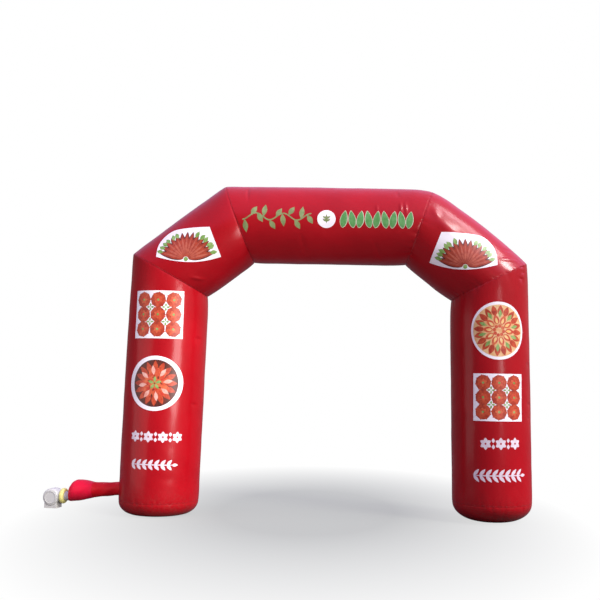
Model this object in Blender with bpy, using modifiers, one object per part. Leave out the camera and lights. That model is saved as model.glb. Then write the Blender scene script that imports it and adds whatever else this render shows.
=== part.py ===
"""Inflatable advertising arch with its small blower.

A round cloth tube is sewn from five mitred panels and stands on two dished base panels.
Printed panels are stuck on its front, and an inflation sleeve on the left leg's wall is
drawn in round the blower's spout. Metres, +Z up, the front faces -Y. The origin is on the
ground, in the middle of the whole object's box.
"""

import math
from collections import namedtuple

import bmesh
import bpy
from mathutils import Vector

# Driving dimensions of the arch. Its axis runs through five straight stretches.
TUBE_RADIUS = 0.4375
FOOT_X = 1.846  # the legs' axes on the ground, from the arch's middle
SHOULDER_X = 1.803
SHOULDER_Z = 2.631
BEAM_X = 1.008
BEAM_Z = 3.248
CLOTH = 0.002  # thickness of the coated cloth
GAP = 0.0003  # between neighbouring pieces
BLOWER_REACH = 3.212  # from the arch's middle to the blower's far side
ARCH_X = (BLOWER_REACH - FOOT_X - TUBE_RADIUS) / 2  # the arch's middle, from the origin
SEGMENTS = 36  # round the tube
END_CROWDING = 0.4  # how strongly the faceted bands crowd towards the seams

FRONT = Vector((0, -1, 0))
MIDDLE = Vector((ARCH_X, 0, 1))  # a point that every outer side faces away from

# The left corner panel is blown up wider than its neighbours. Its inner side stays in line
# with theirs, so its axis and its seams move up the leg and out along the beam.
CORNER_SWELL = 0.014  # by which its radius is larger
SWELL_REACH = 0.24  # from its seams to where it has its full radius
CORNER_SLOPE = math.atan2(BEAM_Z - SHOULDER_Z, SHOULDER_X - BEAM_X)
SWELL_UP = CORNER_SWELL / math.cos(CORNER_SLOPE)
SWELL_OUT = CORNER_SWELL / math.sin(CORNER_SLOPE)

# Where two panels meet, the seam is drawn in: all round, and more on its outer or inner side.
Seam = namedtuple("Seam", "x z all_round outer inner reach")
SEAMS = {
    "shoulder_left": Seam(-SHOULDER_X, SHOULDER_Z + SWELL_UP, 0.004, 0.000, 0.010, 0.24),
    "top_left": Seam(-BEAM_X - SWELL_OUT, BEAM_Z, 0.004, 0.000, 0.004, 0.14),
    "top_right": Seam(BEAM_X, BEAM_Z, 0.006, 0.021, 0.006, 0.24),
    "shoulder_right": Seam(SHOULDER_X, SHOULDER_Z, 0.006, 0.004, 0.012, 0.26),
}

# Each foot is a dish that rises from its flat contact patch to the seam with the leg.
Foot = namedtuple("Foot", "x contact_radius seam_z")
FEET = {
    "foot_left": Foot(-FOOT_X, 0.262, 0.145),
    "foot_right": Foot(FOOT_X, 0.146, 0.195),
}
FOOT_SEAM_DRAWN = 0.004
FOOT_SEAM_REACH = 0.10
FOOT_STEPS = 5
JOINTS = ["foot_left", *SEAMS, "foot_right"]  # in order along the tube

# The crown is how far a panel's outer side bulges between its seams.
Panel = namedtuple("Panel", "start end radius crown bands")
PANELS = {
    "leg_left": Panel("foot_left", "shoulder_left", TUBE_RADIUS, 0.008, 7),
    "corner_left": Panel("shoulder_left", "top_left", TUBE_RADIUS + CORNER_SWELL, 0.006, 5),
    "beam": Panel("top_left", "top_right", TUBE_RADIUS, 0.006, 6),
    "corner_right": Panel("shoulder_right", "top_right", TUBE_RADIUS, 0.026, 6),
    "leg_right": Panel("foot_right", "shoulder_right", TUBE_RADIUS, 0.004, 7),
}
BASES = {"base_left": "leg_left", "base_right": "leg_right"}

# Printed panels. "along" runs from the tube's start, on its axis, and "around" is the arc from
# its front line towards its outer side. Both are for the print's middle, or a fan's low corner.
PRINT = 0.001  # thickness
PRINT_LIFT = 0.0026  # clears the tube's flat facets
Print = namedtuple("Print", "shape panel along around width height")
PRINTS = {
    "square_print_left": Print("square", "leg_left", 2.174, 0.027, 0.56, 0.52),
    "bowl_print": Print("disc", "leg_left", 1.431, 0.017, 0.62, 0.59),
    "plate_print": Print("disc", "leg_right", 2.064, 0.035, 0.61, 0.625),
    "square_print_right": Print("square", "leg_right", 1.349, 0.026, 0.56, 0.505),
    "beam_disc": Print("disc", "beam", 0.999, 0.003, 0.20, 0.20),
    "corner_print_left": Print("fan", "corner_left", 0.030, 0.183, 0.72, 0.33),
    "corner_print_right": Print("fan", "corner_right", 0.065, 0.140, 0.75, 0.345),
}
PRINT_GRID = {"square": (8, 3), "disc": (10, 6), "fan": (12, 6)}  # columns and rows
FAN_BOW = 0.062  # how far a corner print's lower edge hangs at its middle
FAN_SLANT = 0.135  # how far its inner edge leans in
FAN_SIDE = 0.10  # height of its straight outer edge, before the rounded corner
FAN_ROUND = 0.20  # length of the rounded corner
FAN_ROUND_SHARE = 0.5  # share of the grid's columns that follow the rounded corner

# The inflation sleeve has a straight axis from the leg's wall to its mouth on the blower.
SLEEVE_START = Vector((ARCH_X - 2.270, 0.100, 0.247))
SLEEVE_END = Vector((ARCH_X - 2.900, 0.203, 0.204))
SLEEVE_SEGMENTS = 20
Ring = namedtuple("Ring", "along radius drop")  # share of the way, radius, sag of its middle
SLEEVE = {
    "sleeve_neck": [
        Ring(0.000, 0.078, 0.000),
        Ring(0.100, 0.074, 0.001),
        Ring(0.300, 0.077, 0.004),
        Ring(0.546, 0.087, 0.004),
    ],
    "sleeve_end": [
        Ring(0.546, 0.087, 0.004),
        Ring(0.680, 0.105, 0.003),
        Ring(0.800, 0.116, 0.002),
        Ring(0.890, 0.115, 0.008),
        Ring(0.950, 0.101, 0.023),
        Ring(0.985, 0.080, 0.045),
        Ring(1.000, 0.055, 0.068),
    ],
}

# The blower stands square to the sleeve's mouth. Its own +X is the way it blows, and its
# origin is on the ground under the mouth.
ROUND_SEGMENTS = 32
SPOUT_SEGMENTS = 28
EDGE_STEPS = 3  # faces in each rounded edge
MOUTH = SLEEVE["sleeve_end"][-1]
SPOUT_PLAY = 0.0015  # the mouth is a little loose round the spout
SPOUT_RADIUS = (MOUTH.radius - CLOTH) * math.cos(math.pi / SLEEVE_SEGMENTS) - SPOUT_PLAY
SPOUT_BORE = 0.046
SPOUT_LENGTH = 0.080
SPOUT_IN_SLEEVE = 0.024
SPOUT_Z = SLEEVE_END.z - MOUTH.drop
COLLAR_RADIUS = 0.087
COLLAR_LENGTH = 0.050
COLLAR_EDGE = 0.022
DRUM_RADIUS = 0.097
DRUM_WIDTH = 0.150
DRUM_X = -0.207
DRUM_Z = 0.122
DRUM_EDGE = 0.022
THROAT_RADIUS = 0.072
STAND_SIZE = (0.150, 0.130, 0.060)
STAND_EDGE = 0.008
INLET_SIZE = (0.034, 0.012, 0.026)  # the mains inlet on the blower's back
INLET_Z = 0.080
INLET_EDGE = 0.002

QUARTER_TURN = math.pi / 2
SHARP_ANGLE = math.radians(40)  # edges that turn more than this are shaded sharp
MERGE = 0.00005
TINY = 0.000001
OUTER_WALL, INNER_WALL = 2, 1  # radii of the two walls of a tube before it is shaped

Look = namedtuple("Look", "color roughness")
LOOKS = {
    "red_coated_cloth": Look((0.55, 0.012, 0.02), 0.35),
    "printed_panel": Look((0.85, 0.82, 0.80), 0.40),
    "sleeve_cloth": Look((0.60, 0.012, 0.05), 0.45),
    "blower_shell": Look((0.72, 0.70, 0.60), 0.45),
    "blower_collar": Look((0.70, 0.62, 0.08), 0.40),
    "blower_spout": Look((0.05, 0.05, 0.05), 0.50),
}


def clear_scene():
    for obj in list(bpy.data.objects):
        bpy.data.objects.remove(obj, do_unlink=True)


def new_collection(name):
    collection = bpy.data.collections.new(name)
    bpy.context.scene.collection.children.link(collection)
    return collection


def new_material(name):
    look = LOOKS[name]
    material = bpy.data.materials.new(name)
    material.use_nodes = True
    shader = material.node_tree.nodes["Principled BSDF"]
    shader.inputs["Base Color"].default_value = (*look.color, 1)
    shader.inputs["Roughness"].default_value = look.roughness
    return material


def object_from(bm, name, material, collection):
    """A new object that takes the closed bmesh, shaded smooth up to its sharp edges."""
    bmesh.ops.recalc_face_normals(bm, faces=bm.faces)
    if bm.calc_volume(signed=True) < 0:
        bmesh.ops.reverse_faces(bm, faces=bm.faces)
    mesh = bpy.data.meshes.new(name)
    bm.to_mesh(mesh)
    bm.free()
    mesh.shade_smooth()
    mesh.set_sharp_from_angle(angle=SHARP_ANGLE)
    mesh.materials.append(material)
    obj = bpy.data.objects.new(name, mesh)
    collection.objects.link(obj)
    return obj


# ---------------------------------------------------------------- the tube's surface


def fade(distance, reach):
    """1 at a seam, falling smoothly to 0 at its reach."""
    return max(0.0, 1 - distance / reach) ** 2


def axis_point(joint):
    if joint in FEET:
        return Vector((ARCH_X + FEET[joint].x, 0, 0))
    return Vector((ARCH_X + SEAMS[joint].x, 0, SEAMS[joint].z))


def drawn_in(joint, angle, distance):
    """How far the cloth is pulled in at this angle, at this distance from a joint's seam."""
    if joint in FEET:
        return FOOT_SEAM_DRAWN * fade(distance, FOOT_SEAM_REACH)
    seam = SEAMS[joint]
    side = math.sin(angle)
    depth = seam.all_round + (seam.outer if side > 0 else seam.inner) * side**2
    return depth * fade(distance, seam.reach)


def radius_between(joint, other_joint):
    """The radius of the panel that runs between two joints."""
    for panel in PANELS.values():
        if {panel.start, panel.end} == {joint, other_joint}:
            return panel.radius


def outwards(direction, point):
    """Square to a stretch of the arch in the arch's own plane, towards its outer side."""
    outer = Vector((-direction.z, 0, direction.x))
    return outer if outer.dot(point - MIDDLE) > 0 else -outer


class Tube:
    """One straight stretch of the arch between the planes of its two seams."""

    def __init__(self, panel):
        self.panel = panel
        self.start = axis_point(panel.start)
        self.end = axis_point(panel.end)
        self.direction = (self.end - self.start).normalized()
        self.outer = outwards(self.direction, (self.start + self.end) / 2)
        self.planes = {joint: self.seam_plane(joint) for joint in (panel.start, panel.end)}

    def seam_plane(self, joint):
        """A point on the plane where this stretch ends, the plane's normal, and half the
        seam's size from front to back. Where two stretches meet, the plane holds the point at
        which their outer edges cross, and the seam is as deep as the narrower one."""
        point = axis_point(joint)
        if joint in FEET:
            raised = point + Vector((0, 0, FEET[joint].seam_z))
            return raised, Vector((0, 0, 1)), self.panel.radius
        here = JOINTS.index(joint)
        neighbours = (JOINTS[here - 1], JOINTS[here + 1])
        radii = [radius_between(joint, other) for other in neighbours]
        ways = [(axis_point(other) - point).normalized() for other in neighbours]
        outer, other_outer = (outwards(way, point) for way in ways)
        reach = (radii[1] - radii[0] * outer.dot(other_outer)) / ways[0].dot(other_outer)
        edge = outer * radii[0] + ways[0] * reach
        return point, Vector((-edge.z, 0, edge.x)).normalized(), min(radii)

    def pulled_in(self, joint, angle, distance):
        """How far inside the panel's radius the cloth is at a distance from one of its seams.
        A wider panel's section narrows there to an ellipse as deep as the seam."""
        wide = self.panel.radius
        depth = self.planes[joint][2]
        section = wide / math.hypot(math.cos(angle) * wide / depth, math.sin(angle))
        narrowing = (wide - section) * fade(distance, SWELL_REACH)
        return narrowing + drawn_in(joint, angle, distance)

    def line(self, angle, lift=0.0):
        """A line along the tube at this angle from the front towards the outer side: the way
        out to it from the axis, and where it ends at the two seams."""
        away = FRONT * math.cos(angle) + self.outer * math.sin(angle)
        ends = []
        for joint, (point, normal, _) in self.planes.items():
            radius = self.panel.radius + lift - self.pulled_in(joint, angle, 0)
            ends.append((point - self.start - away * radius).dot(normal) / self.direction.dot(normal))
        return away, ends[0] + GAP / 2, ends[1] - GAP / 2

    def point(self, angle, share, lift=0.0):
        """A point on the tube: its angle, its share of the way between the seams, and its
        lift out from the cloth's outer face."""
        away, low, high = self.line(angle, lift)
        length = high - low
        bulge = self.panel.crown * math.sin(math.pi * share) * max(0.0, math.sin(angle)) ** 2
        bulge -= self.pulled_in(self.panel.start, angle, length * share)
        bulge -= self.pulled_in(self.panel.end, angle, length * (1 - share))
        along = low + length * share
        return self.start + self.direction * along + away * (self.panel.radius + lift + bulge)

    def share_at(self, angle, along):
        """The share of the way at a distance along the axis from the tube's start."""
        away, low, high = self.line(angle)
        return (along - low) / (high - low)


# ---------------------------------------------------------------- cloth panels


def open_tube(segments, bands):
    """A double-walled open tube from z = 0 to z = 1, for place_walls to shape. It is a
    rectangular section that is spun round."""
    bm = bmesh.new()
    heights = [band / bands for band in range(bands + 1)]
    section = [bm.verts.new((OUTER_WALL, 0, height)) for height in heights]
    section += [bm.verts.new((INNER_WALL, 0, height)) for height in reversed(heights)]
    edges = [bm.edges.new(pair) for pair in zip(section, section[1:] + section[:1])]
    bmesh.ops.spin(
        bm, geom=section + edges, axis=(0, 0, 1), angle=math.tau, steps=segments, use_merge=True
    )
    return bm


def place_walls(bm, place):
    """Moves each vertex to place(angle, share of the way along, depth inside the outer face)."""
    for vertex in bm.verts:
        angle = math.atan2(vertex.co.y, vertex.co.x)
        inside = math.hypot(vertex.co.x, vertex.co.y) < (OUTER_WALL + INNER_WALL) / 2
        vertex.co = place(angle, vertex.co.z, CLOTH if inside else 0.0)


def nearer_ends(share):
    """Moves evenly spaced bands towards the seams, where the cloth bends most."""
    crowded = (1 - math.cos(math.pi * share)) / 2
    return share + END_CROWDING * (crowded - share)


def make_tube_panels(material, collection):
    for name, panel in PANELS.items():
        tube = Tube(panel)
        bm = open_tube(SEGMENTS, panel.bands)
        place_walls(bm, lambda angle, share, depth: tube.point(angle, nearer_ends(share), -depth))
        object_from(bm, name, material, collection)


def foot_curve(foot, depth):
    """(radius, height) points up the dish's wall, at a depth inside its outer face."""
    rim = TUBE_RADIUS - FOOT_SEAM_DRAWN
    points = []
    for step in range(FOOT_STEPS + 1):
        turn = QUARTER_TURN * step / FOOT_STEPS
        radius = foot.contact_radius + (rim - foot.contact_radius) * math.sin(turn)
        height = (foot.seam_z - GAP / 2) * (1 - math.cos(turn))
        points.append((radius - depth * math.sin(turn), height + depth * math.cos(turn)))
    return points


def turned(name, profile, segments, material, collection):
    """A solid turned about its own Z from (radius, height) points that start at the top on
    the inside, or on the axis, and run down the outer side."""
    mesh = bpy.data.meshes.new(name)
    points = [(radius, 0, height) for radius, height in profile]
    closing = [(len(points) - 1, 0)] if profile[0][0] > 0 else []
    edges = [(i, i + 1) for i in range(len(points) - 1)] + closing
    mesh.from_pydata(points, edges, [])
    mesh.materials.append(material)
    obj = bpy.data.objects.new(name, mesh)
    collection.objects.link(obj)
    screw = obj.modifiers.new("Turn", "SCREW")
    screw.steps = screw.render_steps = segments
    screw.use_merge_vertices = True
    screw.merge_threshold = MERGE
    screw.use_smooth_shade = True
    return obj


def make_base_panels(material, collection):
    for name, leg in BASES.items():
        foot = FEET[PANELS[leg].start]
        inside = foot_curve(foot, CLOTH)
        outside = foot_curve(foot, 0.0)
        profile = [(0, CLOTH), *inside, *reversed(outside), (0, 0)]
        base = turned(name, profile, SEGMENTS, material, collection)
        lean = Tube(PANELS[leg]).direction
        base.location.x = ARCH_X + foot.x + foot.seam_z * lean.x / lean.z


# ---------------------------------------------------------------- printed panels


def square_outline(x, y, size):
    return size.width / 2 * x, size.height / 2 * y


def disc_outline(x, y, size):
    """Bends a square grid into a round one."""
    return (
        size.width / 2 * x * math.sqrt(1 - y * y / 2),
        size.height / 2 * y * math.sqrt(1 - x * x / 2),
    )


def fan_outline(x, y, size):
    """A long panel with a rounded upper corner, a slanting inner edge and a bowed lower edge,
    from its outer lower corner."""
    across = (x + 1) / 2
    up = (y + 1) / 2
    low = Vector((size.width * across, -FAN_BOW * 4 * across * (1 - across)))
    if across < FAN_ROUND_SHARE:
        turn = QUARTER_TURN * across / FAN_ROUND_SHARE
        rise = (size.height - FAN_SIDE) * math.sin(turn)
        high = Vector((FAN_ROUND * (1 - math.cos(turn)), FAN_SIDE + rise))
    else:
        straight = (across - FAN_ROUND_SHARE) / (1 - FAN_ROUND_SHARE)
        top = size.width - FAN_SLANT - FAN_ROUND
        high = Vector((FAN_ROUND + top * straight, size.height))
    return low.lerp(high, up)


OUTLINES = {"square": square_outline, "disc": disc_outline, "fan": fan_outline}


def print_point(tube, size, across, up):
    """The place on the tube of a print's point, level on the tube whichever way it slants."""
    lean = math.atan2(tube.direction.z, abs(tube.direction.x))
    along = size.along + across * math.cos(lean) + up * math.sin(lean)
    around = size.around - across * math.sin(lean) + up * math.cos(lean)
    angle = around / tube.panel.radius
    return tube.point(angle, tube.share_at(angle, along), PRINT_LIFT)


def make_prints(material, collection):
    for name, size in PRINTS.items():
        tube = Tube(PANELS[size.panel])
        columns, rows = PRINT_GRID[size.shape]
        bm = bmesh.new()
        bmesh.ops.create_grid(bm, x_segments=columns, y_segments=rows, size=1)
        for vertex in bm.verts:
            across, up = OUTLINES[size.shape](vertex.co.x, vertex.co.y, size)
            vertex.co = print_point(tube, size, across, up)
        bmesh.ops.recalc_face_normals(bm, faces=bm.faces)
        if sum(face.normal.y * face.calc_area() for face in bm.faces) > 0:
            bmesh.ops.reverse_faces(bm, faces=bm.faces)
        mesh = bpy.data.meshes.new(name)
        bm.to_mesh(mesh)
        bm.free()
        mesh.materials.append(material)
        mesh.shade_smooth()
        obj = bpy.data.objects.new(name, mesh)
        collection.objects.link(obj)
        shell = obj.modifiers.new("Thickness", "SOLIDIFY")
        shell.thickness = PRINT
        shell.offset = 1


# ---------------------------------------------------------------- inflation sleeve


def leg_wall_share(point, axis, radius):
    """The share of the sleeve's axis at which a line along it leaves the left leg's wall."""
    leg = Tube(PANELS["leg_left"])
    across = point - leg.start
    across -= leg.direction * across.dot(leg.direction)
    way = axis - leg.direction * axis.dot(leg.direction)
    a, b, c = way.dot(way), 2 * across.dot(way), across.dot(across) - radius**2
    return (-b + math.sqrt(b * b - 4 * a * c)) / (2 * a)


def ring_between(rings, share):
    """The section at a share of the rows of a length's table, between its two nearest rows."""
    bands = len(rings) - 1
    row = min(int(share * bands + TINY), bands - 1)
    low, high = rings[row], rings[row + 1]
    part = share * bands - row
    return Ring(*(a + (b - a) * part for a, b in zip(low, high)))


def make_sleeve(material, collection):
    """The neck's inner end follows the leg's wall, and the end length starts a gap further."""
    axis = SLEEVE_END - SLEEVE_START
    side = Vector((-axis.y, axis.x, 0)).normalized()
    top = axis.cross(side).normalized()
    for name, rings in SLEEVE.items():

        def place(angle, share, depth):
            ring = ring_between(rings, share)
            out = side * math.cos(angle) + top * math.sin(angle)
            start = SLEEVE_START + out * (ring.radius - depth)
            along = ring.along
            if share < TINY:
                if name == "sleeve_neck":
                    along = leg_wall_share(start, axis, TUBE_RADIUS + GAP)
                else:
                    along += GAP / axis.length
            return start + axis * along + Vector((0, 0, -ring.drop))

        bm = open_tube(SLEEVE_SEGMENTS, len(rings) - 1)
        place_walls(bm, place)
        object_from(bm, name, material, collection)


# ---------------------------------------------------------------- blower


def round_edges(bm, edges, width):
    bmesh.ops.bevel(
        bm, geom=edges, offset=width, segments=EDGE_STEPS, affect="EDGES", profile=0.5
    )


def is_level(edge):
    return abs(edge.verts[0].co.z - edge.verts[1].co.z) < TINY


AXIS_TURN = {"X": (0, QUARTER_TURN, 0), "Y": (QUARTER_TURN, 0, 0)}


def add_cylinder(name, radius, length, center, axis, edge, parent, material, collection):
    """A cylinder with rounded rims, along the parent's X or Y."""
    bm = bmesh.new()
    bmesh.ops.create_cone(
        bm, cap_ends=True, segments=ROUND_SEGMENTS, radius1=radius, radius2=radius, depth=length
    )
    if edge:
        round_edges(bm, [e for e in bm.edges if is_level(e)], edge)
    obj = object_from(bm, name, material, collection)
    obj.location = center
    obj.rotation_euler = AXIS_TURN[axis]
    obj.parent = parent
    return obj


def add_block(name, size, center, edge, parent, material, collection):
    """A box with rounded upright edges."""
    bm = bmesh.new()
    bmesh.ops.create_cube(bm, size=1)
    for vertex in bm.verts:
        vertex.co = Vector(a * b for a, b in zip(vertex.co, size))
    round_edges(bm, [e for e in bm.edges if not is_level(e)], edge)
    obj = object_from(bm, name, material, collection)
    obj.location = center
    obj.parent = parent
    return obj


def join(obj, helper):
    """Joins the helper's shape to the object, and leaves the helper out of the render."""
    helper.hide_render = True
    helper.display_type = "WIRE"
    union = obj.modifiers.new("Join " + helper.name, "BOOLEAN")
    union.operation = "UNION"
    union.object = helper


def make_housing(parent, collar_left, collection, helpers):
    """A drum that lies across the blower, with a throat towards the collar and a stand."""
    shell = new_material("blower_shell")
    throat_length = collar_left - GAP - DRUM_X
    housing = add_cylinder(
        "blower_housing", DRUM_RADIUS, DRUM_WIDTH, (DRUM_X, 0, DRUM_Z), "Y", DRUM_EDGE,
        parent, shell, collection,
    )
    throat = add_cylinder(
        "throat", THROAT_RADIUS, throat_length, (DRUM_X + throat_length / 2, 0, SPOUT_Z), "X", 0,
        parent, shell, helpers,
    )
    stand = add_block(
        "stand", STAND_SIZE, (DRUM_X, 0, STAND_SIZE[2] / 2), STAND_EDGE, parent, shell, helpers
    )
    join(housing, throat)
    join(housing, stand)


def make_spout(parent, material, collection):
    """A short pipe. Its outer end stands inside the sleeve's mouth."""
    profile = [
        (SPOUT_BORE, SPOUT_LENGTH),
        (SPOUT_RADIUS, SPOUT_LENGTH),
        (SPOUT_RADIUS, 0),
        (SPOUT_BORE, 0),
    ]
    spout = turned("blower_spout", profile, SPOUT_SEGMENTS, material, collection)
    spout.parent = parent
    spout.location = (SPOUT_IN_SLEEVE - SPOUT_LENGTH, 0, SPOUT_Z)
    spout.rotation_euler.y = QUARTER_TURN


def make_blower(collection, helpers):
    axis = SLEEVE_START - SLEEVE_END
    place = bpy.data.objects.new("blower", None)
    place.location = (SLEEVE_END.x, SLEEVE_END.y, 0)
    place.rotation_euler.z = math.atan2(axis.y, axis.x)
    collection.objects.link(place)

    dark = new_material("blower_spout")
    collar_right = SPOUT_IN_SLEEVE - SPOUT_LENGTH - GAP
    collar_left = collar_right - COLLAR_LENGTH
    make_housing(place, collar_left, collection, helpers)
    make_spout(place, dark, collection)
    add_cylinder(
        "blower_collar", COLLAR_RADIUS, COLLAR_LENGTH,
        ((collar_left + collar_right) / 2, 0, SPOUT_Z), "X", COLLAR_EDGE,
        place, new_material("blower_collar"), collection,
    )
    back = DRUM_WIDTH / 2 + GAP + INLET_SIZE[1] / 2
    add_block(
        "blower_inlet", INLET_SIZE, (DRUM_X, back, INLET_Z), INLET_EDGE, place, dark, collection
    )


def main():
    clear_scene()
    arch = new_collection("inflatable_arch")
    helpers = new_collection("helpers")
    red = new_material("red_coated_cloth")
    make_tube_panels(red, arch)
    make_base_panels(red, arch)
    make_prints(new_material("printed_panel"), arch)
    make_sleeve(new_material("sleeve_cloth"), arch)
    make_blower(arch, helpers)


main()
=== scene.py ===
"""Looks of the inflatable arch and its blower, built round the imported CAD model.

The cloth panels, bases, sleeve and printed panels are finer copies of the CAD's shapes, with
their seam puckers, folds and stitches. The blower keeps its CAD solids and gets its fittings.
Metres, in the CAD's own frame: +Z up, the front faces -Y.
"""

import math
import random
from collections import namedtuple
from functools import cached_property, partial

import bmesh
import bpy
import numpy as np
from mathutils import Matrix, Vector


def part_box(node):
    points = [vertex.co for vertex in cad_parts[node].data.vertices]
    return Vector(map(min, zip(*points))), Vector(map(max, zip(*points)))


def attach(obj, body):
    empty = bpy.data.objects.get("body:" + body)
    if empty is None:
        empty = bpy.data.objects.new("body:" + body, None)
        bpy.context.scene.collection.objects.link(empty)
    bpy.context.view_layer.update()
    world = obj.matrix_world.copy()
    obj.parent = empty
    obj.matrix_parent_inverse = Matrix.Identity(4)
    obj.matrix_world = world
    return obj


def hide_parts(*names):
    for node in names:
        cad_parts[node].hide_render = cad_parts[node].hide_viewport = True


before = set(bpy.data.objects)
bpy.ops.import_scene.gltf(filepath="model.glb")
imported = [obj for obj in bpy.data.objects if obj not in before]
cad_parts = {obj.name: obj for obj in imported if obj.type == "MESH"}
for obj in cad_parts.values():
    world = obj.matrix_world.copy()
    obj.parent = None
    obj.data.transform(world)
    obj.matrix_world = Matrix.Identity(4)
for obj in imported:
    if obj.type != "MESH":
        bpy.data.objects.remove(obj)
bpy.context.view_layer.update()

# ---- sizes, as in the CAD


def unit(vector):
    return vector / np.linalg.norm(vector)


def turned(x, y, degrees):
    """A point turned about the origin."""
    turn = math.radians(degrees)
    return x * math.cos(turn) - y * math.sin(turn), x * math.sin(turn) + y * math.cos(turn)


def ways_round(angle, side, top):
    """Directions at angles that run from a side way towards a top way."""
    return np.cos(angle)[..., None] * side + np.sin(angle)[..., None] * top


def middle(node):
    low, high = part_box(node)
    return (low + high) / 2


def half_depth(node):
    low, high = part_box(node)
    return (high.y - low.y) / 2


GAP = 0.0003  # between two pieces that are sewn together
CLOTH = 0.002  # thickness of the cloth
FOOT_X, SHOULDER_X, SHOULDER_Z = 1.846, 1.803, 2.631
BEAM_X, BEAM_Z = 1.008, 3.248
LEAN = (FOOT_X - SHOULDER_X) / SHOULDER_Z  # how far a leg leans in for each metre up
TUBE_RADIUS = half_depth("beam")
LEFT_SEAM_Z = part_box("base_left")[1].z + GAP / 2
RIGHT_SEAM_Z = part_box("base_right")[1].z + GAP / 2
ARCH_X = (
    middle("base_left").x + middle("base_right").x + LEAN * (RIGHT_SEAM_Z - LEFT_SEAM_Z)
) / 2
FRONT = np.array((0.0, -1.0, 0.0))
MIDDLE = np.array((ARCH_X, 0.0, 1.0))  # a point that every outer side faces away from

# The left corner panel is blown up wider than its neighbours. Its inner side stays in line
# with theirs, so its axis and its seams move up the leg and out along the beam.
CORNER_RADIUS = half_depth("corner_left")
SWELL_REACH = 0.24  # from its seams to where it has its full radius
CORNER_SLOPE = math.atan2(BEAM_Z - SHOULDER_Z, SHOULDER_X - BEAM_X)
SWELL_UP = (CORNER_RADIUS - TUBE_RADIUS) / math.cos(CORNER_SLOPE)
SWELL_OUT = (CORNER_RADIUS - TUBE_RADIUS) / math.sin(CORNER_SLOPE)

# The places on the arch's axis where its stretches meet. Near its seam the cloth is drawn in
# all round, and further on the outer and inner sides of the bend. "puckers" is the strength
# of the seam's puckers.
Joint = namedtuple("Joint", "x z all_round outer inner reach groove puckers")
JOINTS = {
    "foot_left": Joint(-FOOT_X, 0.0, 0.004, 0.000, 0.000, 0.10, 0.0008, 1.0),
    "shoulder_left": Joint(-SHOULDER_X, SHOULDER_Z + SWELL_UP, 0.004, 0.000, 0.010, 0.24, 0.0014, 0.6),
    "top_left": Joint(-BEAM_X - SWELL_OUT, BEAM_Z, 0.004, 0.000, 0.004, 0.14, 0.0030, 0.2),
    "top_right": Joint(BEAM_X, BEAM_Z, 0.006, 0.021, 0.006, 0.24, 0.0022, 1.1),
    "shoulder_right": Joint(SHOULDER_X, SHOULDER_Z, 0.006, 0.004, 0.012, 0.26, 0.0011, 0.9),
    "foot_right": Joint(FOOT_X, 0.0, 0.004, 0.000, 0.000, 0.10, 0.0008, 1.0),
}
ORDER = list(JOINTS)  # along the arch, from the left foot
Foot = namedtuple("Foot", "contact_radius seam_z")
FEET = {"foot_left": Foot(0.262, LEFT_SEAM_Z), "foot_right": Foot(0.146, RIGHT_SEAM_Z)}

Panel = namedtuple("Panel", "start end radius crown")
PANELS = {
    "leg_left": Panel("foot_left", "shoulder_left", TUBE_RADIUS, 0.008),
    "corner_left": Panel("shoulder_left", "top_left", CORNER_RADIUS, 0.006),
    "beam": Panel("top_left", "top_right", TUBE_RADIUS, 0.006),
    "corner_right": Panel("shoulder_right", "top_right", TUBE_RADIUS, 0.026),
    "leg_right": Panel("foot_right", "shoulder_right", TUBE_RADIUS, 0.004),
}
BASES = {"base_left": "leg_left", "base_right": "leg_right"}

# ---- folds of the cloth

ROUND_STEPS = 240  # points round a tube
ROW_SPACING = 0.040  # of the points along it, away from the seams and folds
FOLD_SPACING = 0.0085  # and across a fold
FOLD_MARGIN = 2.2  # how many of a fold's widths are so finely divided on each side of it
SEAM_ROWS = (0, 0.002, 0.0045, 0.0075, 0.011, 0.016, 0.023, 0.032, 0.044, 0.058, 0.075)
GROOVE_WIDTH = 0.010
BACK_SEAM_DEPTH = 0.0018  # the valley of the seam that closes each panel along its back
BACK_SEAM_WIDTH = 0.009

# Puckers run out from a seam on both sides of it. Their places and sizes are uneven.
Pucker = namedtuple("Pucker", "angle depth width reach_before reach_after drift")
PUCKER_SPACING = 0.082
PUCKER_STRAY = 0.38  # how far a pucker is from its even place, as a share of the spacing
PUCKER_CROWD = 0.9  # how much deeper they are on the inner side of a bend
PUCKER_DEPTHS = (0.0008, 0.0042)
PUCKER_WIDTHS = (0.012, 0.020)
PUCKER_REACHES = (0.05, 0.22)
PUCKER_DRIFTS = (-0.4, 0.4)
PUCKER_SEED = 7

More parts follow.
